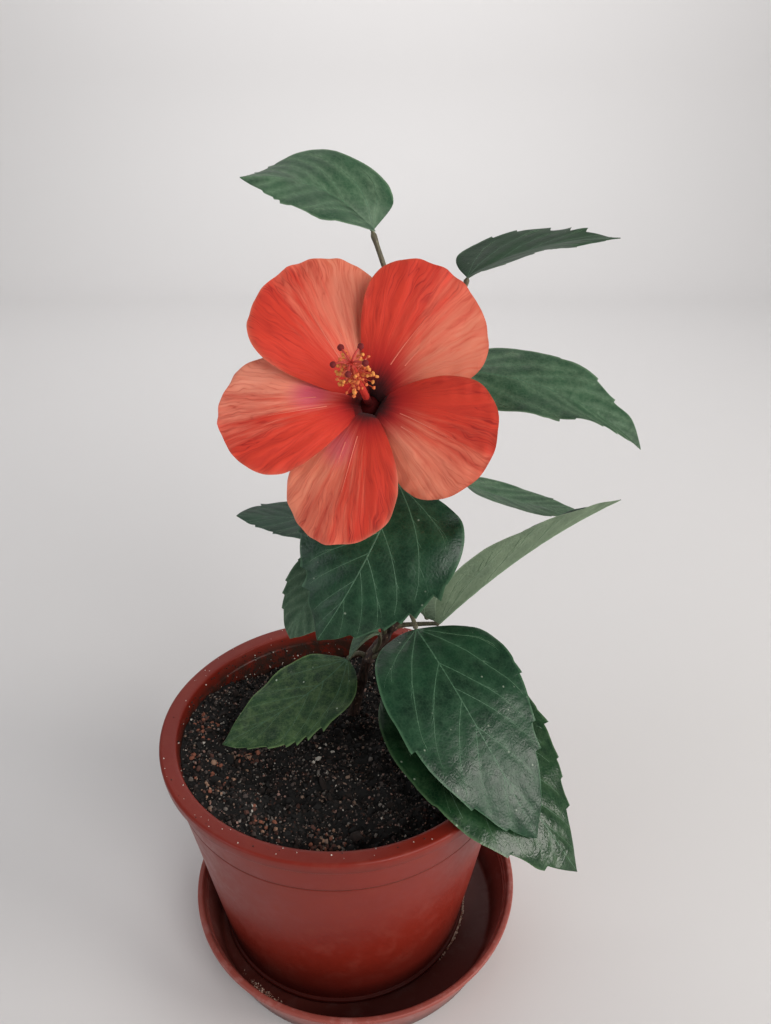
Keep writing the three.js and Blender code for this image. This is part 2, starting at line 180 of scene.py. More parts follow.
@dataclass
class Skin:
    """The parts of one piece, in millimetres, collected before they become a Blender mesh.

    Every face corner has a place on the piece's flat map, and a vertex may have named values
    that its material reads.
    """

    points: list = field(default_factory=list)
    faces: list = field(default_factory=list)
    slots: list = field(default_factory=list)
    places: list = field(default_factory=list)
    values: list = field(default_factory=list)
    count: int = 0

    def add(
        self,
        points: np.ndarray,
        faces: list,
        slots: list,
        places: np.ndarray,
        values: dict | None = None,
    ) -> None:
        """Adds one part.

        Args:
            points: Its vertices.
            faces: Its faces, as lists of vertex numbers.
            slots: Each face's material number.
            places: Each face corner's place on the flat map.
            values: Named values of its vertices.
        """
        self.points.append(points)
        self.faces += [[i + self.count for i in face] for face in faces]
        self.slots += slots
        self.places.append(places)
        self.values.append((len(points), values or {}))
        self.count += len(points)

    def rings(
        self,
        rings: np.ndarray,
        slot_of: list | int = 0,
        area: tuple = (0, 0, 1, 1),
        values: dict | None = None,
    ) -> None:
        """Adds a closed skin over rings of points, with a flat face on the first and last ring.

        Args:
            rings: The points, by row and round the ring.
            slot_of: The material number, or one for each face round the ring.
            area: The part's rectangle on the flat map: left, bottom, right, top.
            values: Named values, by row and round the ring.
        """
        rows, around = rings.shape[:2]
        row, turn = np.meshgrid(np.arange(rows - 1), np.arange(around), indexing="ij")
        row, turn = row.ravel(), turn.ravel()
        after = (turn + 1) % around
        low = row * around
        high = low + around
        quads = np.stack([low + turn, low + after, high + after, high + turn], axis=-1)
        u = np.stack([turn, turn + 1, turn + 1, turn], axis=-1) / around
        v = np.stack([row, row, row + 1, row + 1], axis=-1) / (rows - 1)
        first = np.arange(around)[::-1]
        last = np.arange(around) + (rows - 1) * around
        cap = np.linspace(0, 1, around)
        u = np.concatenate([u.ravel(), cap, cap])
        v = np.concatenate([v.ravel(), np.zeros(around), np.ones(around)])
        places = np.stack([mix(area[0], area[2], u), mix(area[1], area[3], v)], axis=-1)
        by_turn = np.broadcast_to(np.asarray(slot_of), around)
        slots = [int(s) for s in by_turn[turn]] + [int(by_turn[0])] * 2
        named = {name: np.asarray(a).reshape(rows * around) for name, a in (values or {}).items()}
        faces = quads.tolist() + [first.tolist(), last.tolist()]
        self.add(rings.reshape(-1, 3), faces, slots, places, named)

    def made(self, name: str, materials: list) -> bpy.types.Object:
        """Makes the Blender object.

        Args:
            name: The piece's name.
            materials: Its materials, in the order of the face's material numbers.

        Returns:
            The object, in metres.
        """
        mesh = bpy.data.meshes.new(name)
        points = np.vstack(self.points) * MM
        mesh.from_pydata(points.tolist(), [], self.faces)
        mesh.polygons.foreach_set("material_index", self.slots)
        mesh.polygons.foreach_set("use_smooth", [True] * len(self.faces))
        flat_map = mesh.uv_layers.new(name="OFBake")
        flat_map.data.foreach_set("uv", np.vstack(self.places).astype(np.float32).ravel())
        for key in sorted({key for _, values in self.values for key in values}):
            found = [values.get(key, np.zeros(number)) for number, values in self.values]
            attribute = mesh.attributes.new(key, "FLOAT", "POINT")
            attribute.data.foreach_set("value", np.concatenate(found).astype(np.float32))
        for material in materials:
            mesh.materials.append(material)
        mesh.set_sharp_from_angle(angle=SHARP)
        mesh.update()
        made = bpy.data.objects.new(name, mesh)
        bpy.context.scene.collection.objects.link(made)
        return made


def tube(line: np.ndarray, radius: np.ndarray, around: int) -> np.ndarray:
    """Rings of points round a line.

    Args:
        line: The centre line.
        radius: The radius, by row or by row and round the ring.
        around: How many points a ring has.

    Returns:
        The rings, by row and round the ring.
    """
    ways = unit(np.gradient(line, axis=0))
    side = unit(np.cross(ways[0], [0.3, 0.9, 0.2]))
    sides = []
    for way in ways:
        side = unit(side - way * np.dot(side, way))
        sides.append(side)
    sides = np.array(sides)
    others = np.cross(ways, sides)
    angle = round_angles(around)
    spokes = sides[:, None] * np.cos(angle)[:, None] + others[:, None] * np.sin(angle)[:, None]
    radius = np.asarray(radius, float)
    return line[:, None] + spokes * (radius[:, None, None] if radius.ndim == 1 else radius[..., None])


def lathed(profile: np.ndarray, around: int) -> np.ndarray:
    """Rings of points for a profile of radius and height turned about the Z axis."""
    angle = round_angles(around)
    radius, height = profile[:, :1], profile[:, 1:]
    flat = np.stack([radius * np.cos(angle), radius * np.sin(angle)], axis=-1)
    return np.concatenate([flat, np.broadcast_to(height[..., None], flat.shape[:2] + (1,))], axis=-1)


def there_and_back(near: np.ndarray, far: np.ndarray) -> np.ndarray:
    """The columns of near, and on the way back those of far between its two ends."""
    return np.concatenate([near, far[:, -2:0:-1]], axis=1)


def turned_profile(corners: list, steps: int = 5, longest: float = 4) -> np.ndarray:
    """A profile with rounded corners and no long steps.

    Args:
        corners: Radius, height and rounding of each corner.
        steps: How many points a rounded corner gets.
        longest: The longest step that stays as it is.

    Returns:
        The profile's points.
    """
    eased = []
    places = [np.array(corner[:2], float) for corner in corners]
    for i, (_, _, ease) in enumerate(corners):
        here = places[i]
        if ease == 0 or i in (0, len(corners) - 1):
            eased.append(here)
            continue
        before = here + unit(places[i - 1] - here) * ease
        after = here + unit(places[i + 1] - here) * ease
        for t in np.linspace(0, 1, steps):
            eased.append((1 - t) ** 2 * before + 2 * t * (1 - t) * here + t**2 * after)
    line = [eased[0]]
    for a, b in zip(eased, eased[1:]):
        parts = max(1, math.ceil(np.linalg.norm(b - a) / longest))
        line += [a + (b - a) * (i + 1) / parts for i in range(parts)]
    return np.array(line)


@dataclass(frozen=True)
class Grain:
    """A small lump that is copied many times into one joined mesh."""

    detail: int
    roughness: float
    seed: int

    def copies(self, centres: np.ndarray, sizes: np.ndarray, slots: np.ndarray) -> Skin:
        """Copies the lump, each time a little differently.

        Args:
            centres: The lumps' middles.
            sizes: Each lump's three half widths.
            slots: Each lump's material number.

        Returns:
            The lumps.
        """
        rng = np.random.default_rng(self.seed)
        ball = bmesh.new()
        bmesh.ops.create_icosphere(ball, subdivisions=self.detail, radius=1)
        points = np.array([v.co[:] for v in ball.verts])
        faces = np.array([[v.index for v in f.verts] for f in ball.faces])
        ball.free()
        number = len(centres)
        shape = points[None] * (1 + rng.normal(0, self.roughness, (number, len(points), 1)))
        turns, _ = np.linalg.qr(rng.normal(size=(number, 3, 3)))
        turns = turns * np.sign(np.linalg.det(turns))[:, None, None]
        placed = np.einsum("nij,nvj->nvi", turns, shape * sizes[:, None]) + centres[:, None]
        all_faces = (faces[None] + (np.arange(number) * len(points))[:, None, None]).reshape(-1, 3)
        cells = math.ceil(math.sqrt(number))
        cell = np.stack([np.arange(number) % cells, np.arange(number) // cells], axis=-1)
        corners = np.array([[0.1, 0.1], [0.9, 0.1], [0.5, 0.9]])
        places = (cell[:, None, None] + corners[None, None]) / cells
        places = np.broadcast_to(places, (number, len(faces), 3, 2)).reshape(-1, 2)
        slot_list = np.repeat(slots, len(faces)).astype(int).tolist()
        skin = Skin()
        skin.add(placed.reshape(-1, 3), all_faces.tolist(), slot_list, places)
        return skin


# ---------------------------------------------------------------- finishes


def linear(hex_colour: str) -> tuple[float, float, float, float]:
    """The linear colour of an sRGB hex value such as #8c3a2c."""
    parts = [int(hex_colour[i : i + 2], 16) / 255 for i in (1, 3, 5)]
    return (*[p / 12.92 if p <= 0.04045 else ((p + 0.055) / 1.055) ** 2.4 for p in parts], 1.0)


def add(
    tree: bpy.types.NodeTree,
    kind: str,
    inputs: dict | tuple = (),
    out: int | str = 0,
    **settings,
) -> bpy.types.NodeSocket | None:
    """Adds a node to a material, with its settings and links.

    Args:
        tree: The material's node tree.
        kind: The node's type, without the word ShaderNode before it.
        inputs: Its sockets, in their order or by name or number. Each is given a number, a hex
            colour or the socket that feeds it.
        out: Which of its outputs is wanted.
        **settings: The node's own properties.

    Returns:
        The wanted output, or None for a node that has none.
    """
    node = tree.nodes.new(f"ShaderNode{kind}")
    for key, value in settings.items():
        setattr(node, key, value)
    for key, value in inputs.items() if isinstance(inputs, dict) else enumerate(inputs):
        if isinstance(value, bpy.types.NodeSocket):
            tree.links.new(value, node.inputs[key])
        else:
            node.inputs[key].default_value = linear(value) if isinstance(value, str) else value
    return node.outputs[out] if len(node.outputs) else None


def blank(name: str) -> tuple[bpy.types.Material, bpy.types.NodeTree]:
    """A new material with no nodes yet, and its node tree."""
    material = bpy.data.materials.new(name)
    material.use_nodes = True
    material.node_tree.nodes.clear()
    return material, material.node_tree


def surfaced(material: bpy.types.Material, inputs: dict) -> bpy.types.Material:
    """The material, with its one shader fed by inputs."""
    shader = add(material.node_tree, "BsdfPrincipled", inputs)
    add(material.node_tree, "OutputMaterial", (shader,))
    return material


def scale_for(millimetres: float) -> float:
    """The texture scale that makes a pattern's cells this long."""
    return 1 / (millimetres * MM)


def shared(finish: object) -> bpy.types.Material:
    """The finish's material, made only once."""
    return bpy.data.materials.get(finish.name) or finish.made()


@dataclass(frozen=True)
class MouldedPlastic:
    """Injection-moulded polypropylene, coloured through.

    The eye gets a satin skin with slow changes of colour, a faint moulded grain and a thin film of dust and
    dried water that dulls it in patches. It is painted darker towards the bottom, painted shade with some
    damp stain, and where an attribute asks it takes dirt and painted shade.
    """

    name: str
    colour: str
    deep: str
    dust: str
    dust_share: float
    roughness: float = 0.42
    grain: float = 0.7
    shade_and_damp_full_to: float = 8  # the heights between which the painted shade and damp stain towards the bottom fade out
    shade_and_damp_gone_from: float = 60
    shade_and_damp: str = "#38100c"
    dirt_and_shade_colour: str = "#2e211a"
    cloud_size: float = 38
    film_size: float = 9
    moulded_depth: float = 0.05

    def made(self) -> bpy.types.Material:
        """Makes the material."""
        material, tree = blank(self.name)
        place = add(tree, "TexCoord", out="Object")
        clouds = {"Vector": place, "Scale": scale_for(self.cloud_size), "Detail": 3}
        cloud = add(tree, "TexNoise", clouds)
        tone = add(tree, "Mix", {0: cloud, 6: self.colour, 7: self.deep}, **BLEND)
        patches = {"Vector": place, "Scale": scale_for(self.film_size), "Detail": 6, "Roughness": 0.7}
        film = add(tree, "TexNoise", patches)
        dusty = add(tree, "MapRange", (film, 0.5, 0.78, 0, self.dust_share))
        filmed = add(tree, "Mix", {0: dusty, 6: tone, 7: self.dust}, **BLEND)
        # painted shade with some damp stain: darker towards the bottom, strongest low on the pot and in the
        # dish
        level = add(tree, "SeparateXYZ", (place,), "Z")
        uneven = add(tree, "Math", (cloud, 10 * MM, level), operation="MULTIPLY_ADD")
        shade_and_damp_share = add(tree, "MapRange", (uneven, self.shade_and_damp_full_to * MM, self.shade_and_damp_gone_from * MM, 0.75, 0), **EASED)
        shade_and_damp_mixed = add(tree, "Mix", {0: shade_and_damp_share, 6: filmed, 7: self.shade_and_damp}, **BLEND)
        # dirt on the inner wall, and painted shade under the collar and in the groove, both read from one
        # attribute
        soiled = add(tree, "Attribute", out="Fac", attribute_name="soiled")
        patchy = add(tree, "MapRange", (film, 0.3, 0.52, 0.15, 0.95))
        dirt_and_shade_share = add(tree, "Math", (soiled, patchy), operation="MULTIPLY")
        colour = add(tree, "Mix", {0: dirt_and_shade_share, 6: shade_and_damp_mixed, 7: self.dirt_and_shade_colour}, **BLEND)
        dull = add(tree, "MapRange", (film, 0.35, 0.75, self.roughness - 0.07, self.roughness + 0.14))
        skin = add(tree, "TexNoise", {"Vector": place, "Scale": scale_for(self.grain), "Detail": 2})
        relief = add(tree, "Bump", {"Height": skin, "Strength": 0.25, "Distance": self.moulded_depth * MM})
        look = {"Base Color": colour, "Roughness": dull, "Normal": relief}
        return surfaced(material, look | {"IOR": 1.49, "Specular IOR Level": 0.28})


@dataclass(frozen=True)
class LooseMatter:
    """Mineral or plant crumbs, dug and mixed: matt, uneven and without a skin."""

    name: str
    colour: str
    other: str
    roughness: float = 0.9
    patch: float = 2.5
    depth: float = 0.4

    def made(self) -> bpy.types.Material:
        """Makes the material."""
        material, tree = blank(self.name)
        place = add(tree, "TexCoord", out="Object")
        patch = add(tree, "TexNoise", {"Vector": place, "Scale": scale_for(self.patch), "Detail": 4})
        colour = add(tree, "Mix", {0: patch, 6: self.colour, 7: self.other}, **BLEND)
        relief = add(tree, "Bump", {"Height": patch, "Strength": 0.6, "Distance": self.depth * MM})
        look = {"Base Color": colour, "Normal": relief, "Roughness": self.roughness}
        return surfaced(material, look)


@dataclass(frozen=True)
class Plain:
    """Small things of one natural colour, such as grains, pollen and stigmas."""

    name: str
    colour: str
    roughness: float = 0.7

    def made(self) -> bpy.types.Material:
        """Makes the material."""
        look = {"Base Color": self.colour, "Roughness": self.roughness}
        return surfaced(blank(self.name)[0], look)


@dataclass(frozen=True)
class GrowingSkin:
    """Bark or rind that has grown lengthwise.

    The eye gets fine streaks along the stem, paler corky flecks and a dull, slightly waxy face.
    """

    name: str
    colour: str
    streak: str
    fleck: str
    streak_width: float = 0.5
    roughness: float = 0.65
    relief: float = 0.25
    fleck_spacing: float = 2.6

    def made(self) -> bpy.types.Material:
        """Makes the material."""
        material, tree = blank(self.name)
        place = add(tree, "TexCoord", out="Object")
        drawn = add(tree, "Mapping", {"Vector": place, "Scale": (1.0, 1.0, 0.16)})
        streaks = {"Vector": drawn, "Scale": scale_for(self.streak_width * 2), "Detail": 4}
        fibre = add(tree, "TexNoise", streaks)
        sharp = add(tree, "MapRange", (fibre, 0.38, 0.62))
        tone = add(tree, "Mix", {0: sharp, 6: self.colour, 7: self.streak}, **BLEND)
        flecks = {"Vector": place, "Scale": scale_for(self.fleck_spacing)}
        spots = add(tree, "TexVoronoi", flecks, "Distance", feature="F1")
        corky = add(tree, "MapRange", (spots, 0.12, 0.22, 0.75, 0))
        colour = add(tree, "Mix", {0: corky, 6: tone, 7: self.fleck}, **BLEND)
        relief = add(tree, "Bump", {"Height": fibre, "Strength": 0.7, "Distance": self.relief * MM})
        look = {"Base Color": colour, "Normal": relief, "Roughness": self.roughness}
        return surfaced(material, look)


@dataclass(frozen=True)
class LeafSkin:
    """One face of a living leaf, as it grew: a waxy upper face or a dull under face.

    The eye gets a deep green that pales along the veins, a net of very fine veins about 2 mm apart that the
    light catches, scattered pale dots where water has dried, and a paler margin that is a painted highlight.
    """

    name: str
    colour: str
    deep: str
    pale: str
    pale_share: float = 0.25
    spots: float = 0.0
    roughness: float = 0.4
    net: float = 1.7
    relief: float = 0.08
    mottle: float = 0.0  # how much of the pale colour the pale patches take
    water_mark: str = "#b8c4b0"
    cloud_size: float = 14
    patch_size: float = 4.5
    streak_size: float = 1.6
    dot_spacing: float = 6.5

    def made(self) -> bpy.types.Material:
        """Makes the material."""
        material, tree = blank(self.name)
        place = add(tree, "TexCoord", out="Object")
        clouds = {"Vector": place, "Scale": scale_for(self.cloud_size), "Detail": 5, "Roughness": 0.6}
        cloud = add(tree, "TexNoise", clouds)
        spread = add(tree, "MapRange", (cloud, 0.35, 0.65))
        even = add(tree, "Mix", {0: spread, 6: self.deep, 7: self.colour}, **BLEND)
        patches = {"Vector": place, "Scale": scale_for(self.patch_size), "Detail": 6, "Roughness": 0.7}
        patch = add(tree, "TexNoise", patches)
        patchy = add(tree, "MapRange", (patch, 0.46, 0.74, 0, self.mottle))
        tone = add(tree, "Mix", {0: patchy, 6: even, 7: self.pale}, **BLEND)
        by_vein = add(tree, "Attribute", out="Fac", attribute_name="near_vein")
        streaks = {"Vector": place, "Scale": scale_for(self.streak_size), "Detail": 3}
        fine = add(tree, "TexNoise", streaks)
        streaky = add(tree, "Math", (by_vein, fine), operation="MULTIPLY")
        paler = add(tree, "Math", (streaky, 2 * self.pale_share), operation="MULTIPLY")
        veined = add(tree, "Mix", {0: paler, 6: tone, 7: self.pale}, **BLEND)
        mesh = {"Vector": place, "Scale": scale_for(self.net)}
        cells = add(tree, "TexVoronoi", mesh, "Distance", feature="DISTANCE_TO_EDGE")
        thread = add(tree, "MapRange", (cells, 0, 0.12, 0.08, 0))
        netted = add(tree, "Mix", {0: thread, 6: veined, 7: self.pale}, **BLEND)
        # painted highlight: the margin is mixed towards the pale colour, as a thin edge catching the light
        margin = add(tree, "Attribute", out="Fac", attribute_name="margin")
        rimmed = add(tree, "Mix", {0: margin, 6: netted, 7: self.pale}, **BLEND)
        drops = {"Vector": place, "Scale": scale_for(self.dot_spacing)}
        dots = add(tree, "TexVoronoi", drops, "Distance", feature="F1")
        dried = add(tree, "MapRange", (dots, 0.04, 0.09, self.spots, 0))
        colour = add(tree, "Mix", {0: dried, 6: rimmed, 7: self.water_mark}, **BLEND)
        height = add(tree, "MapRange", (cells, 0, 0.35))
        relief = add(tree, "Bump", {"Height": height, "Strength": 0.55, "Distance": self.relief * MM})
        waxy = add(tree, "MapRange", (cloud, 0.3, 0.7, self.roughness - 0.06, self.roughness + 0.1))
        look = {"Base Color": colour, "Roughness": waxy, "Normal": relief}
        return surfaced(material, look | {"IOR": 1.45, "Specular IOR Level": 0.31})


@dataclass(frozen=True)
class PetalSkin:
    """A soft living petal: a velvety face of tiny raised cells, thin enough to glow.

    The eye gets a pale salmon half and an orange-red half, streaked from the throat outward,
    a fan of darker veins, a maroon throat and a paler rim. The patterns lie on the petal's own
    fan: radial runs from 0 in the throat to 1 at the end, and sweep from side to side.
    """

    name: str
    pale: str = "#e4866a"
    red: str = "#cc3824"
    vein: str = "#8c1410"
    pale_vein: str = "#ca5a42"
    throat: str = "#40070b"
    crimson: str = "#ab1a18"
    rim: str = "#dd7a64"
    blush: str = "#cc4c68"
    blush_share: float = 0.0
    throat_reach: float = 0.15
    seed: float = 0.0
    vein_depth: float = 0.5
    glow_depth: float = 1.5

    def made(self) -> bpy.types.Material:
        """Makes the material."""
        material, tree = blank(self.name)
        radial = add(tree, "Attribute", out="Fac", attribute_name="radial")
        sweep = add(tree, "Attribute", out="Fac", attribute_name="sweep")
        rim = add(tree, "Attribute", out="Fac", attribute_name="rim")
        fan = add(tree, "CombineXYZ", (radial, sweep, self.seed))
        # the two halves, which run into each other in streaks
        wide = add(tree, "Mapping", {"Vector": fan, "Scale": (1.6, 7.0, 1.0)})
        streaks = {"Vector": wide, "Scale": 1, "Detail": 5, "Roughness": 0.62, "Distortion": 0.3}
        streak = add(tree, "TexNoise", streaks)
        shifted = add(tree, "Math", (streak, 2.1, -1.05), operation="MULTIPLY_ADD")
        across = add(tree, "Math", (sweep, shifted), operation="ADD")
        side = add(tree, "MapRange", (across, -0.95, 0.55), **EASED)
        halves = add(tree, "Mix", {0: side, 6: self.pale, 7: self.red}, **BLEND)
        # the veins, which wander, fade in places and have a soft edge
        drift = add(tree, "TexNoise", {"Vector": fan, "Scale": 3.5, "Detail": 2}, "Color")
        warped = add(tree, "VectorMath", (drift, (0.22, 0.3, 0.0), fan), operation="MULTIPLY_ADD")
        narrow = add(tree, "Mapping", {"Vector": warped, "Scale": (1.9, 13.0, 1.0)})
        lines = {"Vector": narrow, "Scale": 1, "Detail": 1.5, "Roughness": 0.5}
        veins = add(tree, "TexNoise", lines)
        off_vein = add(tree, "Math", (veins, 0.5), operation="SUBTRACT")
        distance = add(tree, "Math", (off_vein,), operation="ABSOLUTE")
        line = add(tree, "MapRange", (distance, 0, 0.05, 1, 0), **EASED)
        wisp = add(tree, "TexNoise", {"Vector": fan, "Scale": 6, "Detail": 2})
        strength = add(tree, "MapRange", (wisp, 0.35, 0.65, 0.4, 0.95))
        outward = add(tree, "MapRange", (radial, 0.25, 0.9, 0.2, 1))
        marked = add(tree, "Math", (line, strength), operation="MULTIPLY")
        drawn = add(tree, "Math", (marked, outward), operation="MULTIPLY")
        soft = add(tree, "MapRange", (distance, 0, 0.17, 0.42, 0))
        halo = add(tree, "Math", (soft, outward), operation="MULTIPLY")
        inked = add(tree, "Math", (drawn, halo), operation="MAXIMUM")
        ink = add(tree, "Mix", {0: side, 6: self.pale_vein, 7: self.vein}, **BLEND)
        veined = add(tree, "Mix", {0: inked, 6: halves, 7: ink}, **BLEND)
        edge = add(tree, "Math", (rim, 0.6), operation="MULTIPLY")
        rimmed = add(tree, "Mix", {0: edge, 6: veined, 7: self.rim}, **BLEND)
        # the blush beside the throat, and the throat
        parts = (fan, (4.2, 1.3, 0.0), (-1.2, 0.6, 0.0))
        from_blush = add(tree, "VectorMath", parts, operation="MULTIPLY_ADD")
        apart = add(tree, "VectorMath", (from_blush,), "Value", operation="LENGTH")
        near = add(tree, "MapRange", (apart, 0.15, 1, self.blush_share, 0), **EASED)
        blushed = add(tree, "Mix", {0: near, 6: rimmed, 7: self.blush}, **BLEND)
        inward = add(tree, "Math", (shifted, -0.07, radial), operation="MULTIPLY_ADD")
        reach = self.throat_reach
        inner = add(tree, "MapRange", (inward, reach - 0.1, reach + 0.22, 1, 0), **EASED)
        warm = add(tree, "Mix", {0: inner, 6: blushed, 7: self.crimson}, **BLEND)
        core = add(tree, "MapRange", (inward, reach - 0.2, reach, 1, 0), **EASED)
        colour = add(tree, "Mix", {0: core, 6: warm, 7: self.throat}, **BLEND)
        relief = add(tree, "Bump", {"Height": distance, "Strength": 0.5, "Distance": self.vein_depth * MM})
        look = {
            "Base Color": colour,
            "Normal": relief,
            "Roughness": 0.7,
            "Specular IOR Level": 0.3,
            "Subsurface Weight": 0.2,
            "Subsurface Radius": (1.0, 0.3, 0.2),
            "Subsurface Scale": self.glow_depth * MM,
            "Sheen Weight": 0.08,
            "Sheen Roughness": 0.5,
        }
        return surfaced(material, look)


# ---------------------------------------------------------------- pieces


def settle(piece: bpy.types.Object, slot: str, *nodes: str) -> None:
    """Puts a finished piece on the frame.

    Args:
        piece: The piece.
        slot: A material slot's name; not used.
        *nodes: The CAD nodes that it stands for.
    """
    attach(piece, "root")
    if nodes:
        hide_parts(*nodes)
    log.info("%s: %d faces for %s", piece.name, len(piece.data.polygons), ", ".join(nodes) or "detail")


def lay(skin: Skin, name: str, finishes: tuple, slot: str, *nodes: str) -> None:
    """Makes a piece and puts it on the frame.

    Args:
        skin: The piece's parts.
        name: The piece's name.
        finishes: Its finishes, in the order of the face's material numbers.
        slot: A material slot's name; not used.
        *nodes: The CAD nodes that it stands for.
    """
    settle(skin.made(name, [shared(finish) for finish in finishes]), slot, *nodes)


@dataclass
class Pot:
    """A round nursery pot with a flat lip, a short collar and one groove round its body."""

    rim_radius: float = 85
    mouth_radius: float = 77
    height: float = 121.4
    collar_height: float = 5.5
    collar_step: float = 3
    foot_radius: float = 64
    foot_height: float = 1.8
    foot_level: float = 3.5
    base_radius: float = 62.5
    wall: float = 2.4
    floor: float = 3
    groove_level: float = 100
    groove_depth: float = 0.35
    hollow: float = 0.6  # how far the underside stands above its ring
    fill_line: float = 7  # how far below the lip the inner wall has its small step
    soiled_side: float = math.radians(120)
    around: int = 200
    finish: MouldedPlastic = MouldedPlastic(
        "terracotta_polypropylene", "#822518", "#701d13", "#a4604f", 0.14, 0.36, 0.7, 8, 62
    )

    def inner_radius(self, z: float) -> float:
        """The radius of the inner wall at a height."""
        low = self.foot_level + self.floor
        share = (z - low) / (self.height - low)
        return float(mix(self.base_radius - self.wall, self.mouth_radius, share))

    def outer_radius(self, z: float) -> float:
        """The radius of the body's outer wall at a height."""
        low = self.foot_level + self.foot_height
        top = self.height - self.collar_height
        slope = (self.rim_radius - self.collar_step - self.base_radius) / (top - low)
        return self.base_radius + slope * (z - low)

    def profile(self) -> np.ndarray:
        """The wall's outline, from the middle of the underside to the middle of the floor."""
        foot, top, groove = self.foot_level, self.height, self.groove_level
        body_foot = foot + self.foot_height
        collar_foot = top - self.collar_height
        step, floor = top - self.fill_line, foot + self.floor
        underside = [
            (0.5, foot + self.hollow, 0),
            (self.foot_radius - 5, foot + self.hollow, 0.3),
            (self.foot_radius - 4, foot, 0.3),
            (self.foot_radius, foot, 0.5),
            (self.foot_radius, body_foot, 0.4),
        ]
        body = [
            (self.outer_radius(body_foot + 0.4), body_foot + 0.4, 0.3),
            (self.outer_radius(groove - 0.6), groove - 0.6, 0.2),
            (self.outer_radius(groove) - self.groove_depth, groove, 0.2),
            (self.outer_radius(groove + 0.6), groove + 0.6, 0.2),
        ]
        collar = [
            (self.rim_radius - self.collar_step, collar_foot, 0.3),
            (self.rim_radius - 0.5, collar_foot, 0.5),
            (self.rim_radius, top - 0.4, 0.9),
            (self.rim_radius - 1.2, top + 0.1, 0.5),
            (self.mouth_radius + 1.5, top - 0.3, 0.6),
            (self.mouth_radius + 0.2, top - 0.8, 0.6),
        ]
        inside = [
            (self.inner_radius(step), step, 0.5),
            (self.inner_radius(step - 0.8) - 0.3, step - 0.8, 0.4),
            (self.inner_radius(30), 30, 0),
            (self.inner_radius(floor), floor, 0.8),
            (0.5, floor, 0),
        ]
        return turned_profile(underside + body + collar + inside)

    def build(self) -> None:
        """Builds the wall as one thin turned shell and puts it in place of the pot's node."""
        rings = lathed(self.profile(), self.around)
        height = rings[..., 2]
        outward = unit(rings * np.array([1, 1, 0]))
        uneven = Ripples(70, 11).at(rings) * 0.25 * smooth(10, 60, height)
        rings = rings + outward * uneven[..., None]
        inside = np.arange(len(rings))[:, None] > np.argmax(rings[:, 0, 2])
        angle = np.arctan2(rings[..., 1], rings[..., 0])
        behind = smooth(-0.8, 0.2, np.cos(angle - self.soiled_side))
        soiled = inside * behind * (1 - smooth(113, 120.5, height))
        # painted shade: a dark line under the collar's overhang and another in the groove
        under_collar = bell(height, self.height - self.collar_height - 0.4, 0.9)
        in_groove = bell(height, self.groove_level, 0.5)
        soiled = soiled + ~inside * (0.7 * under_collar + 0.6 * in_groove)
        skin = Skin()
        skin.rings(rings, values={"soiled": soiled})
        lay(skin, "pot_shell", (self.finish,), "pot_plastic", "pot")


@dataclass
class Saucer:
    """The dish under the pot, with a rolled rim and two fine rings inside it."""

    x: float = 6.5
    y: float = -4
    rim_radius: float = 82.5
    rim_width: float = 2.7
    height: float = 25.5
    foot_radius: float = 73
    floor_radius: float = 72
    floor: float = 3.2
    bead: float = 2.2
    ring_depths: tuple = (3.4, 5.6)
    ring_size: float = 0.45
    around: int = 200
    finish: MouldedPlastic = MouldedPlastic(
        "saucer_polypropylene", "#9c5249", "#843d35", "#bd918c", 0.55, 0.38, 0.7, 7, 22
    )

    def inner_radius(self, z: float) -> float:
        """The radius of the inner wall at a height."""
        slope = (self.rim_radius - self.rim_width - self.floor_radius) / (self.height - self.floor)
        return self.floor_radius + slope * (z - self.floor)

    def profile(self) -> np.ndarray:
        """The dish's outline, from the middle of the underside to the middle of the floor."""
        corners = [
            (0.5, 0.8, 0),
            (self.foot_radius - 6, 0.8, 0.4),
            (self.foot_radius - 5, 0, 0.4),
            (self.foot_radius, 0, 1.2),
            (self.rim_radius - 1, self.height - self.bead, 0.4),
            (self.rim_radius, self.height - self.bead + 0.2, 0.4),
            (self.rim_radius, self.height, 1.0),
            (self.rim_radius - self.rim_width, self.height, 1.0),
        ]
        for level in (self.height - depth for depth in self.ring_depths):
            above, below = level + self.ring_size, level - self.ring_size
            corners += [
                (self.inner_radius(above), above, 0.1),
                (self.inner_radius(level) - self.ring_size, level, 0.25),
                (self.inner_radius(below), below, 0.1),
            ]
        corners += [
            (self.floor_radius, self.floor + 0.4, 1.6),
            (self.floor_radius - 6, self.floor - 0.1, 1.6),
            (0.5, self.floor - 0.1, 0),
        ]
        return turned_profile(corners)

    def build(self) -> None:
        """Builds the dish and puts it in place of the saucer's node."""
        skin = Skin()
        skin.rings(lathed(self.profile(), self.around) + np.array([self.x, self.y, 0]))
        lay(skin, "saucer_shell", (self.finish,), "saucer_plastic", "saucer")


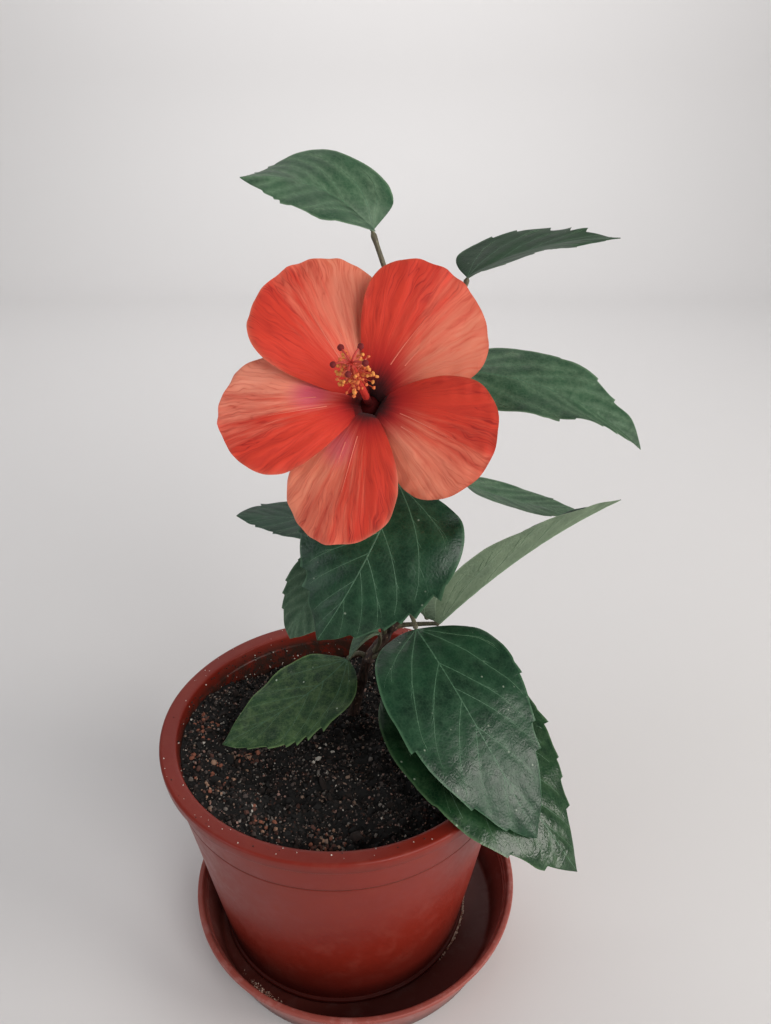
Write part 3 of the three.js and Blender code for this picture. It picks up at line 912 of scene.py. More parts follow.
@dataclass
class PottingMix:
    """The moist mix that fills the pot: a crumbly dark bed with pale grains and clay chips."""

    pot: Pot
    level: float = 105
    crest: float = 106.5
    crest_radius: float = 58
    edge: float = 103.5
    edge_radius: float = 72.5
    flat_radius: float = 40
    heap: float = 11
    heap_side: float = math.radians(196)
    gap: float = 0.3  # between the mix and the pot's wall and floor
    crumbs: int = 9000
    crumb_shares: tuple = (0.5, 0.27, 0.07, 0.16)
    grains: int = 3000
    grain_shares: tuple = (0.09, 0.48, 0.2, 0.23)
    chips: int = 200
    chip_shares: tuple = (0.4, 0.25, 0.35)
    chip_nests: tuple = ((-4, -64), (-54, -34), (-46, -10), (-66, 2), (-30, -54), (-62, -24))
    nest_shares: tuple = (0.3, 0.14, 0.12, 0.16, 0.14, 0.14)
    nest_spread: float = 4.5
    seed: int = 7
    bed_finish: LooseMatter = LooseMatter("moist_potting_mix", "#0b0806", "#030202", 0.9)
    crumb_finishes: tuple = (
        LooseMatter("mix_crumbs_black", "#0d0a08", "#040303", 0.85, 1.2),
        LooseMatter("mix_crumbs_brown", "#281b15", "#0e0907", 0.9, 1.2),
        LooseMatter("mix_crumbs_russet", "#4c2b1f", "#22130e", 0.9, 1.2),
        LooseMatter("mix_crumbs_grey", "#5a4e49", "#2b2422", 0.85, 0.8),
    )
    grain_finishes: tuple = (
        Plain("perlite_white", "#b9b2a8", 0.6),
        Plain("perlite_grey", "#6f6862", 0.7),
        Plain("sand_tan", "#80695a", 0.7),
        Plain("sand_pink", "#8a6a60", 0.7),
    )
    chip_finishes: tuple = (
        Plain("clay_orange", "#85503d", 0.85),
        Plain("clay_tan", "#94735f", 0.85),
        Plain("clay_brown", "#4f3027", 0.85),
    )

    @property
    def most(self) -> float:
        """The greatest radius of the bed."""
        return self.pot.inner_radius(self.edge) - self.gap

    def height_at(self, x: np.ndarray, y: np.ndarray) -> np.ndarray:
        """The height of the bed's surface."""
        radius = np.hypot(x, y)
        radii = [0, self.flat_radius, self.crest_radius, self.edge_radius]
        levels = [self.level, self.level, self.crest, self.edge]
        flat = np.stack([x, y], axis=-1)
        towards = x * math.cos(self.heap_side) + y * math.sin(self.heap_side)
        heap = self.heap * smooth(42, 76, radius) * smooth(0.35, 0.95, towards / np.maximum(radius, 1))
        clods = 1.3 * Ripples(15, 5).at(flat) + 0.9 * Ripples(6, 6).at(flat)
        return np.interp(radius, radii, levels) + heap + clods * (1 - 0.5 * smooth(60, 74, radius))

    def surface(self, x: np.ndarray, y: np.ndarray) -> np.ndarray:
        """Points of the bed's surface, drawn out to the wall where the bed is heaped."""
        z = self.height_at(x, y)
        share = np.hypot(x, y) / self.pot.inner_radius(self.edge)
        wider = (self.pot.inner_radius(1) - self.pot.inner_radius(0)) * (z - self.edge) * share**8
        grown = 1 + wider / self.pot.inner_radius(self.edge)
        return np.stack([x * grown, y * grown, z], axis=-1)

    def scattered(self, rng: np.random.Generator, number: int, most: float) -> np.ndarray:
        """Random places on the bed, within a radius."""
        radius = most * np.sqrt(rng.uniform(0, 1, number))
        angle = rng.uniform(0, FULL_TURN, number)
        return self.surface(radius * np.cos(angle), radius * np.sin(angle))

    def build(self) -> None:
        """Builds the bed and everything loose on it."""
        foot = self.pot.foot_level + self.pot.floor + self.gap
        radii = np.linspace(0.4, self.most, 60)[::-1]
        angle = round_angles(150)
        top = self.surface(radii[:, None] * np.cos(angle), radii[:, None] * np.sin(angle))
        wall = lathed(np.array([[0.4, foot], [self.pot.inner_radius(foot) - self.gap, foot]]), len(angle))
        skin = Skin()
        skin.rings(np.concatenate([wall, top]))
        lay(skin, "mix_bed", (self.bed_finish,), "soil", "soil")
        self.strew(np.random.default_rng(self.seed))

    def strew(self, rng: np.random.Generator) -> None:
        """Strews crumbs, pale grains and clay chips on the bed, by the draws of rng."""
        centres = self.scattered(rng, self.crumbs, self.most - 0.8)
        slots = rng.choice(4, self.crumbs, p=self.crumb_shares)
        size = rng.gamma(2.2, 0.26, self.crumbs) * np.where(slots < 2, 1, 0.5) + 0.3
        sizes = size[:, None] * rng.uniform(0.45, 1.25, (self.crumbs, 3))
        centres[:, 2] += np.where(slots < 2, 0, 0.5)
        lay(Grain(1, 0.22, 3).copies(centres, sizes, slots), "mix_crumbs", self.crumb_finishes, "soil")

        centres = self.scattered(rng, self.grains, self.most - 0.5) + [0, 0, 0.7]
        size = rng.gamma(1.5, 0.15, (self.grains, 1)) + 0.14
        slots = rng.choice(4, self.grains, p=self.grain_shares)
        sizes = size * rng.uniform(0.5, 1.4, (self.grains, 3))
        lay(Grain(1, 0.25, 4).copies(centres, sizes, slots), "mix_grains", self.grain_finishes, "soil")

        nests = np.array(self.chip_nests)
        near = nests[rng.choice(len(nests), self.chips, p=self.nest_shares)]
        x, y = (near + rng.normal(0, self.nest_spread, (self.chips, 2))).T
        inside = np.hypot(x, y) < self.most - 2
        x, y = x[inside], y[inside]
        centres = np.stack([x, y, self.height_at(x, y) + 0.5], axis=-1)
        sizes = rng.uniform(0.4, 1.2, (len(x), 1)) * rng.uniform(0.6, 1.2, (len(x), 3))
        slots = rng.choice(3, len(x), p=self.chip_shares)
        lay(Grain(2, 0.16, 5).copies(centres, sizes, slots), "mix_clay_chips", self.chip_finishes, "soil")


@dataclass
class Dust:
    """Grains that watering has left: specks on the lip, and lime where the pot stands wet."""

    pot: Pot
    saucer: Saucer
    seed: int = 21
    lip_specks: int = 90
    wall_specks: int = 1100
    wall_side: float = math.radians(130)
    lime_runs: tuple = ((-18, 16, 63, 480), (-128, 12, 70, 300))  # degrees, spread, radius, grains
    speck_finishes: tuple = (Plain("speck_white", "#cfc6bc", 0.6), Plain("speck_dark", "#241a16", 0.8))
    lime_finishes: tuple = (Plain("lime_pale", "#c7aa9a", 0.7), Plain("lime_brown", "#8a5a4a", 0.7))

    def build(self) -> None:
        """Builds the specks and the lime crust."""
        rng = np.random.default_rng(self.seed)
        self.specks(rng)
        self.lime(rng)

    def specks(self, rng: np.random.Generator) -> None:
        """Builds the specks on the lip and on the inner wall, by the draws of rng."""
        on_lip, on_wall = self.lip_specks, self.wall_specks
        angle = rng.uniform(0, FULL_TURN, on_lip)
        radius = rng.uniform(self.pot.mouth_radius + 1.5, self.pot.rim_radius - 1.5, on_lip)
        level = np.full(on_lip, self.pot.height)
        lip = np.stack([radius * np.cos(angle), radius * np.sin(angle), level], axis=-1)
        turn = self.wall_side + rng.normal(0, 1.2, on_wall)
        level = self.pot.height - 2.5 - (15 - rng.gamma(2.0, 3.0, on_wall)).clip(0, 15)
        inside = np.array([self.pot.inner_radius(z) - 0.1 for z in level])
        wall = np.stack([inside * np.cos(turn), inside * np.sin(turn), level], axis=-1)
        centres = np.vstack([lip, wall])
        size = rng.uniform(0.12, 0.34, (len(centres), 1)) * rng.uniform(0.7, 1.2, (len(centres), 3))
        size[on_lip:] *= 1.5
        slots = np.concatenate([rng.choice(2, on_lip, p=[0.7, 0.3]), rng.choice(2, on_wall, p=[0.12, 0.88])])
        lay(Grain(1, 0.2, 8).copies(centres, size, slots), "pot_specks", self.speck_finishes, "soil")

    def lime(self, rng: np.random.Generator) -> None:
        """Builds the lime in the saucer, by the draws of rng."""
        runs = self.lime_runs
        angles = [rng.normal(math.radians(a), math.radians(w) / 2, n) for a, w, _, n in runs]
        angle = np.concatenate(angles)
        radius = np.concatenate([rng.normal(r, 0.9, n) for _, _, r, n in runs])
        near = np.arange(len(angle)) < runs[0][3]  # the first run lies round the pot
        x = radius * np.cos(angle) + np.where(near, 0, self.saucer.x)
        y = radius * np.sin(angle) + np.where(near, 0, self.saucer.y)
        out = np.hypot(x, y)
        foot = self.pot.foot_radius + 0.3
        x, y = np.where(out < foot, x * foot / out, x), np.where(out < foot, y * foot / out, y)
        level = self.saucer.floor + rng.uniform(0, 1.2, len(x)) * near
        size = rng.uniform(0.15, 0.65, (len(x), 1)) * rng.uniform(0.6, 1.1, (len(x), 3))
        centres = np.stack([x, y, level], axis=-1)
        lime = Grain(1, 0.25, 9).copies(centres, size, rng.choice(2, len(x)))
        lay(lime, "saucer_lime", self.lime_finishes, "saucer_plastic")


@dataclass
class Stem:
    """The one woody stem, which leans and then rises, with a swelling at each leaf's joint."""

    path: tuple = (
        (5, 21, 105),
        (13, 25, 137),
        (22, 27, 151),
        (31, 26, 169),
        (36, 24, 205),
        (38, 23, 232),
        (39, 22, 268),
        (40, 21, 298),
    )
    foot_radius: float = 3.2
    flare: float = 9
    base_radius: float = 2.6
    tip_radius: float = 1.5
    sunk: float = 1.5  # how far the foot reaches into the mix
    joint_levels: tuple = (118, 127, 138, 151, 157, 168, 178, 191, 205, 222, 232, 250, 268, 284)
    rows: int = 420
    around: int = 36
    finish: GrowingSkin = GrowingSkin("young_bark", "#4c382e", "#281c18", "#88735f", 0.45, 0.7, 0.3)

    def build(self) -> None:
        """Builds the stem with its bark's ridges and scars, in place of its node."""
        line = through(np.array(self.path), self.rows)
        line[0, 2] -= self.sunk
        t = np.linspace(0, 1, self.rows)
        run = t * np.linalg.norm(np.diff(line, axis=0), axis=1).sum()
        radius = mix(self.base_radius, self.tip_radius, t)
        radius = radius + (self.foot_radius - self.base_radius) * np.clip(1 - run / self.flare, 0, 1) ** 2
        for level in self.joint_levels:
            radius = radius + 0.5 * bell(line[:, 2], level, 1.5) - 0.12 * bell(line[:, 2], level + 2.6, 1.0)
        angle = round_angles(self.around)
        ring = np.stack([np.cos(angle), np.sin(angle)], axis=-1) * 3.2
        across = np.broadcast_to(ring, (self.rows, self.around, 2))
        along = np.broadcast_to((run / 6)[:, None, None], (self.rows, self.around, 1))
        spot = np.concatenate([across, along], axis=-1)
        ridges = 0.13 * Ripples(1.7, 31, 12).at(spot) + 0.16 * Ripples(3.4, 32).at(spot * [1, 1, 5])
        skin = Skin()
        skin.rings(tube(line, radius[:, None] + ridges, self.around))
        lay(skin, "stem_bark", (self.finish,), "bark", "main_stem")


class LeafTone(Enum):
    """How a leaf's upper face looks, by its age and its green; SHADED is painted shade and SUNLIT painted
    light, a darker and a paler copy of one green.
    """

    DEEP = LeafSkin("leaf_deep_green", "#113621", "#0a2517", "#567c5c", 0.16, 0.35, 0.32, mottle=0.16)
    OLIVE = LeafSkin("leaf_olive_green", "#163a1f", "#0e2616", "#5c7a54", 0.16, 0.5, 0.24, mottle=0.2)
    # painted shade: a darker copy of the green
    SHADED = LeafSkin("leaf_shaded_green", "#1e402f", "#142c22", "#50725c", 0.25, 0.1, 0.45)
    # painted light: a paler copy of the green
    SUNLIT = LeafSkin("leaf_sunlit_green", "#264b31", "#1c3926", "#7f9a7c", 0.36, 0.05, 0.46, mottle=0.2)
    MOTTLED = LeafSkin("leaf_mottled_green", "#1a3c22", "#132c1b", "#86a468", 0.12, 0.95, 0.34, mottle=0.3)
    YOUNG = LeafSkin("leaf_young_green", "#4c7050", "#36573e", "#84a082", 0.3, 0.0, 0.45)
    GLOSSY = LeafSkin("leaf_glossy_green", "#18401f", "#0f2c17", "#4f7350", 0.2, 0.15, 0.45)


LEAF_BACK = LeafSkin("leaf_under_face", "#66775f", "#52644e", "#8b9a82", 0.3, 0.0, 0.6, 2.2, 0.15)
VEIN_FACE = GrowingSkin("leaf_vein_upper", "#44684e", "#34573e", "#587c5e", 0.5, 0.5, 0.05)
VEIN_DIM = GrowingSkin("leaf_vein_dim", "#40664a", "#31543b", "#557856", 0.5, 0.5, 0.05)
VEIN_BACK = GrowingSkin("leaf_vein_under", "#83997d", "#728a70", "#99ab90", 0.5, 0.6, 0.05)


@dataclass(frozen=True)
class Vein:
    """A vein, from where it leaves the midrib to where it ends near the margin.

    Places along the leaf run from 0 at the base to 1 at the tip, and places across it are
    shares of its greatest half width.
    """

    start: float
    end: float
    across: float
    breadth: float
    from_across: float = 0.0

    def run(self, steps: int = 22) -> tuple[np.ndarray, np.ndarray]:
        """The vein's places along the leaf and across it."""
        q = np.linspace(0, 1, steps)
        along = mix(self.start, self.end, q)
        return along, mix(self.from_across, self.across, 1 - (1 - q) ** 1.35)


@dataclass
class Leaf:
    """A leaf on its stalk: a toothed, slightly quilted blade with its veins on both faces.

    The stalk runs from stem by via to base. The blade runs from base to tip and its midrib
    passes through mid. level is the level way across the blade, on the right as seen from its
    base. roll turns the blade about its own length, and twist is how much more it has turned at
    the tip. fold is how far both halves rise, in degrees, at the base and at the tip, and lobe
    how far the margin reaches back.
    """

    name: str
    stem: Point
    via: Point
    base: Point
    mid: Point
    tip: Point
    width: float
    roll: float = 0
    twist: float = 0
    fold: tuple = (0, 0)
    lobe: float = 3
    tone: LeafTone = LeafTone.DEEP
    teeth: tuple = (6, 6)  # on the side against level, then on the side towards it
    toothed_from: float = 0.4
    tooth: float = 1.6
    wave: float = 1.0
    outline_base: float = 0.48
    outline_tip: float = 0.88
    slim: float = 0.0  # how much narrower the base is towards level, or against it if below 0
    thickness: float = 0.4
    stalk_radius: float = 1.3
    stalk_tip_radius: float = 0.95
    stalk_finish: GrowingSkin = GrowingSkin("leaf_stalk_rind", "#66624a", "#4a4436", "#7d7a5c", 0.4, 0.6, 0.1)
    vein_pairs: tuple = (  # where a pair starts and ends, and how broad it is
        (0, 0.31, 0.17),
        (0, 0.55, 0.26),
        (0.27, 0.66, 0.19),
        (0.44, 0.77, 0.16),
        (0.6, 0.87, 0.13),
        (0.75, 0.94, 0.09),
    )

    @property
    def seed(self) -> int:
        """The leaf's own seed, from its name."""
        return sum(ord(letter) * (i + 1) for i, letter in enumerate(self.name))

    @property
    def midrib(self) -> Bend:
        """The midrib."""
        return Bend(self.base, self.mid, self.tip)

    @property
    def length(self) -> float:
        """The midrib's length."""
        line = self.midrib.at(np.linspace(0, 1, 60))
        return float(np.linalg.norm(np.diff(line, axis=0), axis=1).sum())

    @property
    def rows(self) -> int:
        """How many rows of points the blade has along its length."""
        return round(40 + 1.15 * self.length)

    @property
    def columns(self) -> int:
        """How many columns of points the blade has on each side of its midrib."""
        return round(6 + 0.24 * self.width)

    def outline(self, t: np.ndarray) -> np.ndarray:
        """The half width at t as a share of its greatest."""
        peak = self.outline_base / (self.outline_base + self.outline_tip)
        t = np.clip(t, 0, 1)
        return (t / peak) ** self.outline_base * ((1 - t) / (1 - peak)) ** self.outline_tip

    def veins(self) -> list[Vein]:
        """The midrib, the veins that fan out from the base, and those that leave the midrib."""
        rng = np.random.default_rng(self.seed)
        found = [Vein(0, 0.985, 0, 0.38)]
        for side in (-1, 1):
            for start, end, breadth in self.vein_pairs:
                start = start + rng.uniform(-0.05, 0.05) * (start > 0)
                end = end + rng.uniform(-0.03, 0.02)
                across = side * rng.uniform(0.78, 0.92) * float(self.outline(np.array(end)))
                vein = Vein(start, end, across, breadth)
                found.append(vein)
                if end >= 0.8:
                    continue
                along, out = vein.run()
                for pick in (6, 10, 14):
                    pick = pick + rng.integers(-2, 3)
                    stop = min(along[pick] + rng.uniform(0.06, 0.12), 0.95)
                    reach = abs(out[pick]) + rng.uniform(0.14, 0.28)
                    reach = min(reach, 0.92 * float(self.outline(np.array(stop))))
                    found.append(Vein(along[pick], stop, side * reach, breadth * 0.4, out[pick]))
        return found

    def nearness(self, t: np.ndarray, s: np.ndarray) -> np.ndarray:
        """The distance in millimetres from places on the blade to the nearest main vein."""
        x = t * self.length
        y = s * self.outline(t) * self.width / 2
        nearest = np.full(np.broadcast(x, y).shape, 1e3)
        for vein in self.veins():
            if vein.from_across:
                continue
            along, across = vein.run(40)
            for a, b in zip(along * self.length, across * self.width / 2):
                nearest = np.minimum(nearest, np.hypot(x - a, y - b))
        return nearest

    def teeth_at(self, t: np.ndarray, s: np.ndarray) -> np.ndarray:
        """How far the margin's teeth stand out, in millimetres, at places along each side."""
        number = np.where(s < 0, *self.teeth)
        run = np.clip((t - self.toothed_from) / (0.95 - self.toothed_from), 0, 1)
        run = run + 0.25 / np.maximum(number, 1) * np.sin(11 * run + self.seed + 2 * np.sign(s))
        saw = (run * number) % 1
        strong = 0.75 + 0.35 * np.sin(7 * run * np.sign(s) + self.seed)
        toothed = smooth(0, 0.08, run) * (1 - smooth(0.84, 0.97, t)) * self.tooth * (saw**1.5 - 0.3)
        return toothed * strong * (number > 0)

    def face(self, t: np.ndarray, s: np.ndarray, near: np.ndarray | float) -> tuple[np.ndarray, np.ndarray]:
        """Points of the blade's middle layer.

        Args:
            t: Places from base to tip.
            s: Places across, from -1 to 1.
            near: Distances to the nearest vein, for the quilting between veins.

        Returns:
            The points and the facing at each.
        """
        t, s = np.broadcast_arrays(np.asarray(t, float), np.asarray(s, float))
        chord = unit(np.array(self.tip, float) - np.array(self.base))
        level = unit(np.cross(chord, UP))
        along = self.midrib.way(t)
        turn = -np.radians(self.roll + self.twist * (t - 0.5))
        across = turned(np.broadcast_to(level, along.shape), chord, turn)
        across = unit(across - along * np.sum(across * along, axis=-1, keepdims=True))
        facing = np.cross(across, along)
        rise = np.radians(mix(self.fold[0], self.fold[1], t))
        least = 1.2 / self.width * (1 - t)
        trim = 1 - abs(self.slim) * (s * self.slim > 0) * (1 - t) ** 4
        half = np.maximum(self.outline(t), least) * self.width / 2 * trim
        flat = np.stack([t * self.length, s * half], axis=-1)
        toothed = self.teeth_at(t, s)
        edge = np.abs(s) ** 8
        reach = np.abs(s) * half + edge * toothed
        lobes = self.lobe * trim * s**2 * np.sin(math.pi * np.minimum(t / 0.4, 1))
        back = lobes - edge * 0.6 * toothed
        thin = np.minimum(half / 7, 1) * smooth(0, 0.15, t)
        waves = self.wave * np.abs(s) ** 2 * Ripples(26, self.seed).at(flat) * thin
        quilting = 0.22 * (1 - np.exp(-((near / 2.0) ** 2))) * (1 - s**4)
        puffs = quilting + 0.06 * Ripples(6, self.seed + 1).at(flat)
        lift = reach * np.sin(rise) + waves + puffs * thin
        point = self.midrib.at(t) + across * (np.sign(s) * reach * np.cos(rise))[..., None]
        point = point + facing * lift[..., None] - along * back[..., None]
        facing = facing * np.cos(rise)[..., None] - across * (np.sign(s) * np.sin(rise))[..., None]
        return point, unit(facing)

    def blade(self, skin: Skin) -> None:
        """Adds the blade, as an upper and an under face that meet at the margin."""
        t = np.linspace(0, 1, self.rows)[:, None]
        s = np.linspace(-1, 1, 2 * self.columns + 1)[None]
        near = self.nearness(t, s)
        point, facing = self.face(t, s, near)
        half = (self.thickness / 2 * np.sqrt(1 - np.abs(s) ** 3) * np.ones_like(t))[..., None]
        rings = there_and_back(point + facing * half, point - facing * half)
        pale = np.exp(-near / 1.4)
        # painted highlight along the margin, which the leaf's finish reads
        margin = 0.5 * (np.abs(s) > 0.999) * (t > 0.1)
        values = {"near_vein": there_and_back(pale, pale), "margin": there_and_back(margin, margin)}
        slots = [0] * (2 * self.columns) + [1] * (2 * self.columns)
        skin.rings(rings, slots, (0, 0, 1, 0.88), values)

    def ribs(self, skin: Skin) -> None:
        """Adds the veins, each a thin rib that stands out a little above and more below."""
        veins = self.veins()
        size = math.sqrt(self.width / 60)
        for i, vein in enumerate(veins):
            along, across = vein.run(30 if vein.from_across == 0 else 14)
            s = np.clip(across / np.maximum(self.outline(along), 0.05), -0.96, 0.96)
            point, facing = self.face(along, s, 0.0)
            way = unit(np.gradient(point, axis=0))
            side = unit(np.cross(way, facing))
            q = np.linspace(0, 1, len(along))
            breadth = (size * vein.breadth * (1 - 0.72 * q))[:, None]
            layer = self.thickness / 2 + 0.03
            ring = [
                point + facing * (layer + 0.4 * breadth),
                point + facing * layer + side * breadth,
                point - facing * layer + side * breadth,
                point - facing * (layer + 0.9 * breadth),
                point - facing * layer - side * breadth,
                point + facing * layer - side * breadth,
            ]
            cell = (i / len(veins), 0.9, (i + 0.9) / len(veins), 1)
            skin.rings(np.stack(ring, axis=1), [2, 3, 3, 3, 3, 2], cell)

    def stalk(self) -> None:
        """Builds the stalk, swollen at both ends, in place of its node."""
        t = np.linspace(0, 1, 60)
        line = Bend(self.stem, self.via, self.base).at(t)
        radius = mix(self.stalk_radius, self.stalk_tip_radius, t)
        radius = radius + 0.55 * bell(t, 0.1, 0.07) + 0.3 * bell(t, 0.96, 0.05)
        radius = radius * (1 - 0.45 * smooth(0.96, 1, t))
        around = 20
        groove = 1 - 0.1 * bell(round_angles(around), math.pi, 0.5)
        skin = Skin()
        skin.rings(tube(line, radius[:, None] * groove, around))
        lay(skin, f"petiole_{self.name}", (self.stalk_finish,), "stalk", f"stalk_{self.name}")

    def build(self) -> None:
        """Builds the blade with its veins, and the stalk, in place of their nodes."""
        skin = Skin()
        self.blade(skin)
        self.ribs(skin)
        vein = VEIN_FACE if self.tone in (LeafTone.DEEP, LeafTone.OLIVE, LeafTone.YOUNG) else VEIN_DIM
        finishes = (self.tone.value, LEAF_BACK, vein, VEIN_BACK)
        lay(skin, f"blade_{self.name}", finishes, "leaf", f"leaf_{self.name}")
        self.stalk()


@dataclass(frozen=True)
class BloomFrame:
    """Where the bloom is: its throat, and the way that it faces."""

    throat: Point = (14.5, -24, 292)
    azimuth: float = -5
    elevation: float = 30

    @property
    def axis(self) -> np.ndarray:
        """The direction out of the throat."""
        a, e = math.radians(self.azimuth), math.radians(self.elevation)
        return np.array([math.sin(a) * math.cos(e), -math.cos(a) * math.cos(e), math.sin(e)])

    @property
    def right(self) -> np.ndarray:
        """The bloom's right, as seen from the front."""
        return unit(-np.cross(self.axis, UP))

    @property
    def up(self) -> np.ndarray:
        """The bloom's up."""
        return np.cross(self.axis, self.right)

    def at(self, right: np.ndarray, up: np.ndarray, out: np.ndarray) -> np.ndarray:
        """Points given as right and up across the bloom and out along its axis."""
        parts = [np.asarray(v, float)[..., None] for v in (right, up, out)]
        return np.array(self.throat) + parts[0] * self.right + parts[1] * self.up + parts[2] * self.axis


@dataclass
class Petal:
    """One petal. angle is counter-clockwise from the bloom's right, seen from the front."""

    name: str
    angle: float
    reach: float
    width: float
    frame: BloomFrame
    finish: PetalSkin
    claw_radius: float = 3.6
    claw_depth: float = 20
    belly_radius: float = 6
    belly_rise: float = 5
    tip_rise: float = 4
    tilt: float = 13
    recurve: float = 2
    thickness: float = 0.45
    rows: int = 130
    columns: int = 36
    fan_from: float = 6  # the radius from which the veins fan out
    fan_ease: float = 6  # keeps the fan's angles small where it starts
    fan_half_angle: float = 0.55  # radians from the middle line to where the sweep is one
    pale_lines: tuple = ((-0.04, 0.2, 0.62), (0.2, 0.26, 0.42))
    ridge_finish: Plain = Plain("petal_ridge", "#d87560", 0.7)

    @property
    def seed(self) -> int:
        """The petal's own seed."""
        return int(self.angle) % 97

    def outline(self, share: np.ndarray) -> np.ndarray:
        """The half width as a share of its greatest, at a share of the reach from the axis."""
        share = np.clip(share, 0, 1)
        return 0.12 * (1 - share) ** 2 + np.maximum(np.sin(math.pi * share**1.5), 0) ** 0.53

    def face(self, t: np.ndarray, s: np.ndarray) -> tuple[np.ndarray, np.ndarray, dict]:
        """Points of the petal's middle layer.

        Args:
            t: Places from the claw to the end.
            s: Places across, from -1 to 1.

        Returns:
            The points, the facing at each and the values that the finish reads.
        """
        t, s = np.broadcast_arrays(np.asarray(t, float), np.asarray(s, float))
        a = math.radians(self.angle)
        outward = math.cos(a) * self.frame.right + math.sin(a) * self.frame.up
        clockwise = math.sin(a) * self.frame.right - math.cos(a) * self.frame.up
        axis = self.frame.axis
        claw = np.array([self.claw_radius, -self.claw_depth])
        belly = np.array([self.belly_radius, self.belly_rise])
        tip = np.array([self.reach, self.tip_rise])
        u = t[..., None]
        profile = (1 - u) ** 2 * claw + 2 * u * (1 - u) * belly + u**2 * tip
        slope = unit((1 - u) * (belly - claw) + u * (tip - belly))
        radius, rise = profile[..., 0], profile[..., 1]
        share = (radius - self.claw_radius) / (self.reach - self.claw_radius)
        spread = s * self.outline(share)
        half = spread * self.width / 2
        tilt = math.radians(self.tilt)
        x = radius - self.fan_from
        distance = np.hypot(np.maximum(x, 0), half)
        angle = np.arctan2(half, np.maximum(x, 0) + self.fan_ease)
        radial = np.where(x > 0, distance / (self.reach - self.fan_from), 0)
        flat = np.stack([radius, half], axis=-1)
        from_side = (1 - np.abs(s)) * self.outline(share) * self.width / 2
        gap = np.minimum(from_side, (1 - share) * self.reach * 1.2)
        close = np.exp(-np.maximum(gap, 0) / 4.5) * smooth(0.2, 0.6, share)
        ribs = 0.16 * np.cos(angle * 34 + Ripples(16, self.seed).at(flat)) * smooth(0.15, 0.5, radial)
        crinkle = close * (0.4 * Ripples(8, self.seed + 1).at(flat) + 0.14 * np.cos(angle * 50))
        bows = 0.9 * Ripples(32, self.seed + 2).at(flat) * smooth(0.3, 0.9, share)
        lift = (ribs + crinkle + bows) * smooth(0.1, 0.35, share)
        ragged = close * 0.3 * Ripples(11, self.seed + 3).at(flat)
        out = rise - half * math.sin(tilt) - self.recurve * spread**2 * t
        point = np.array(self.frame.throat) + outward * (radius + ragged)[..., None]
        point = point + axis * out[..., None] + clockwise * (half * math.cos(tilt))[..., None]
        facing = axis * slope[..., :1] - outward * slope[..., 1:]
        facing = unit(facing + clockwise * math.sin(tilt))
        rim = np.exp(-np.maximum(gap, 0) / 1.1) * smooth(0.25, 0.5, share)
        values = {"radial": radial, "sweep": -angle / self.fan_half_angle, "rim": rim}
        return point + facing * lift[..., None], facing, values

    def build(self) -> None:
        """Builds the petal with its pale ridges, in place of its node."""
        t = 1 - np.linspace(1, 0, self.rows)[:, None] ** 1.4
        s = np.sin(np.linspace(-1, 1, 2 * self.columns + 1) * math.pi / 2)[None]
        point, facing, values = self.face(t, s)
        half = (self.thickness / 2 * np.sqrt(np.maximum(1 - s**4, 0)) * (1 - 0.5 * t))[..., None]
        skin = Skin()
        rings = there_and_back(point + facing * half, point - facing * half)
        doubled = {key: there_and_back(value, value) for key, value in values.items()}
        skin.rings(rings, 0, (0, 0, 1, 0.9), doubled)
        self.ridges(skin)
        finishes = (self.finish, self.ridge_finish)
        lay(skin, f"bloom_{self.name}", finishes, "petal", f"petal_{self.name}")

    def ridges(self, skin: Skin) -> None:
        """Adds the pale ridges that run out of the throat along the petal's middle."""
        for i, (place, start, end) in enumerate(self.pale_lines):
            t = np.linspace(start, end, 40) ** 0.5
            bend = place * (1 + 0.25 * np.sin(4 * t + i))
            point, facing, _ = self.face(t, bend)
            side = unit(np.cross(unit(np.gradient(point, axis=0)), facing))
            breadth = 0.2 * (1 - 0.8 * np.linspace(0, 1, len(t)))[:, None]
            layer = self.thickness / 2
            ring = [
                point + facing * (layer + 0.05),
                point + facing * (layer - 0.06) + side * breadth,
                point - facing * 0.1,
                point + facing * (layer - 0.06) - side * breadth,
            ]
            skin.rings(np.stack(ring, axis=1), 1, (0.3 * i, 0.92, 0.3 * i + 0.25, 1))


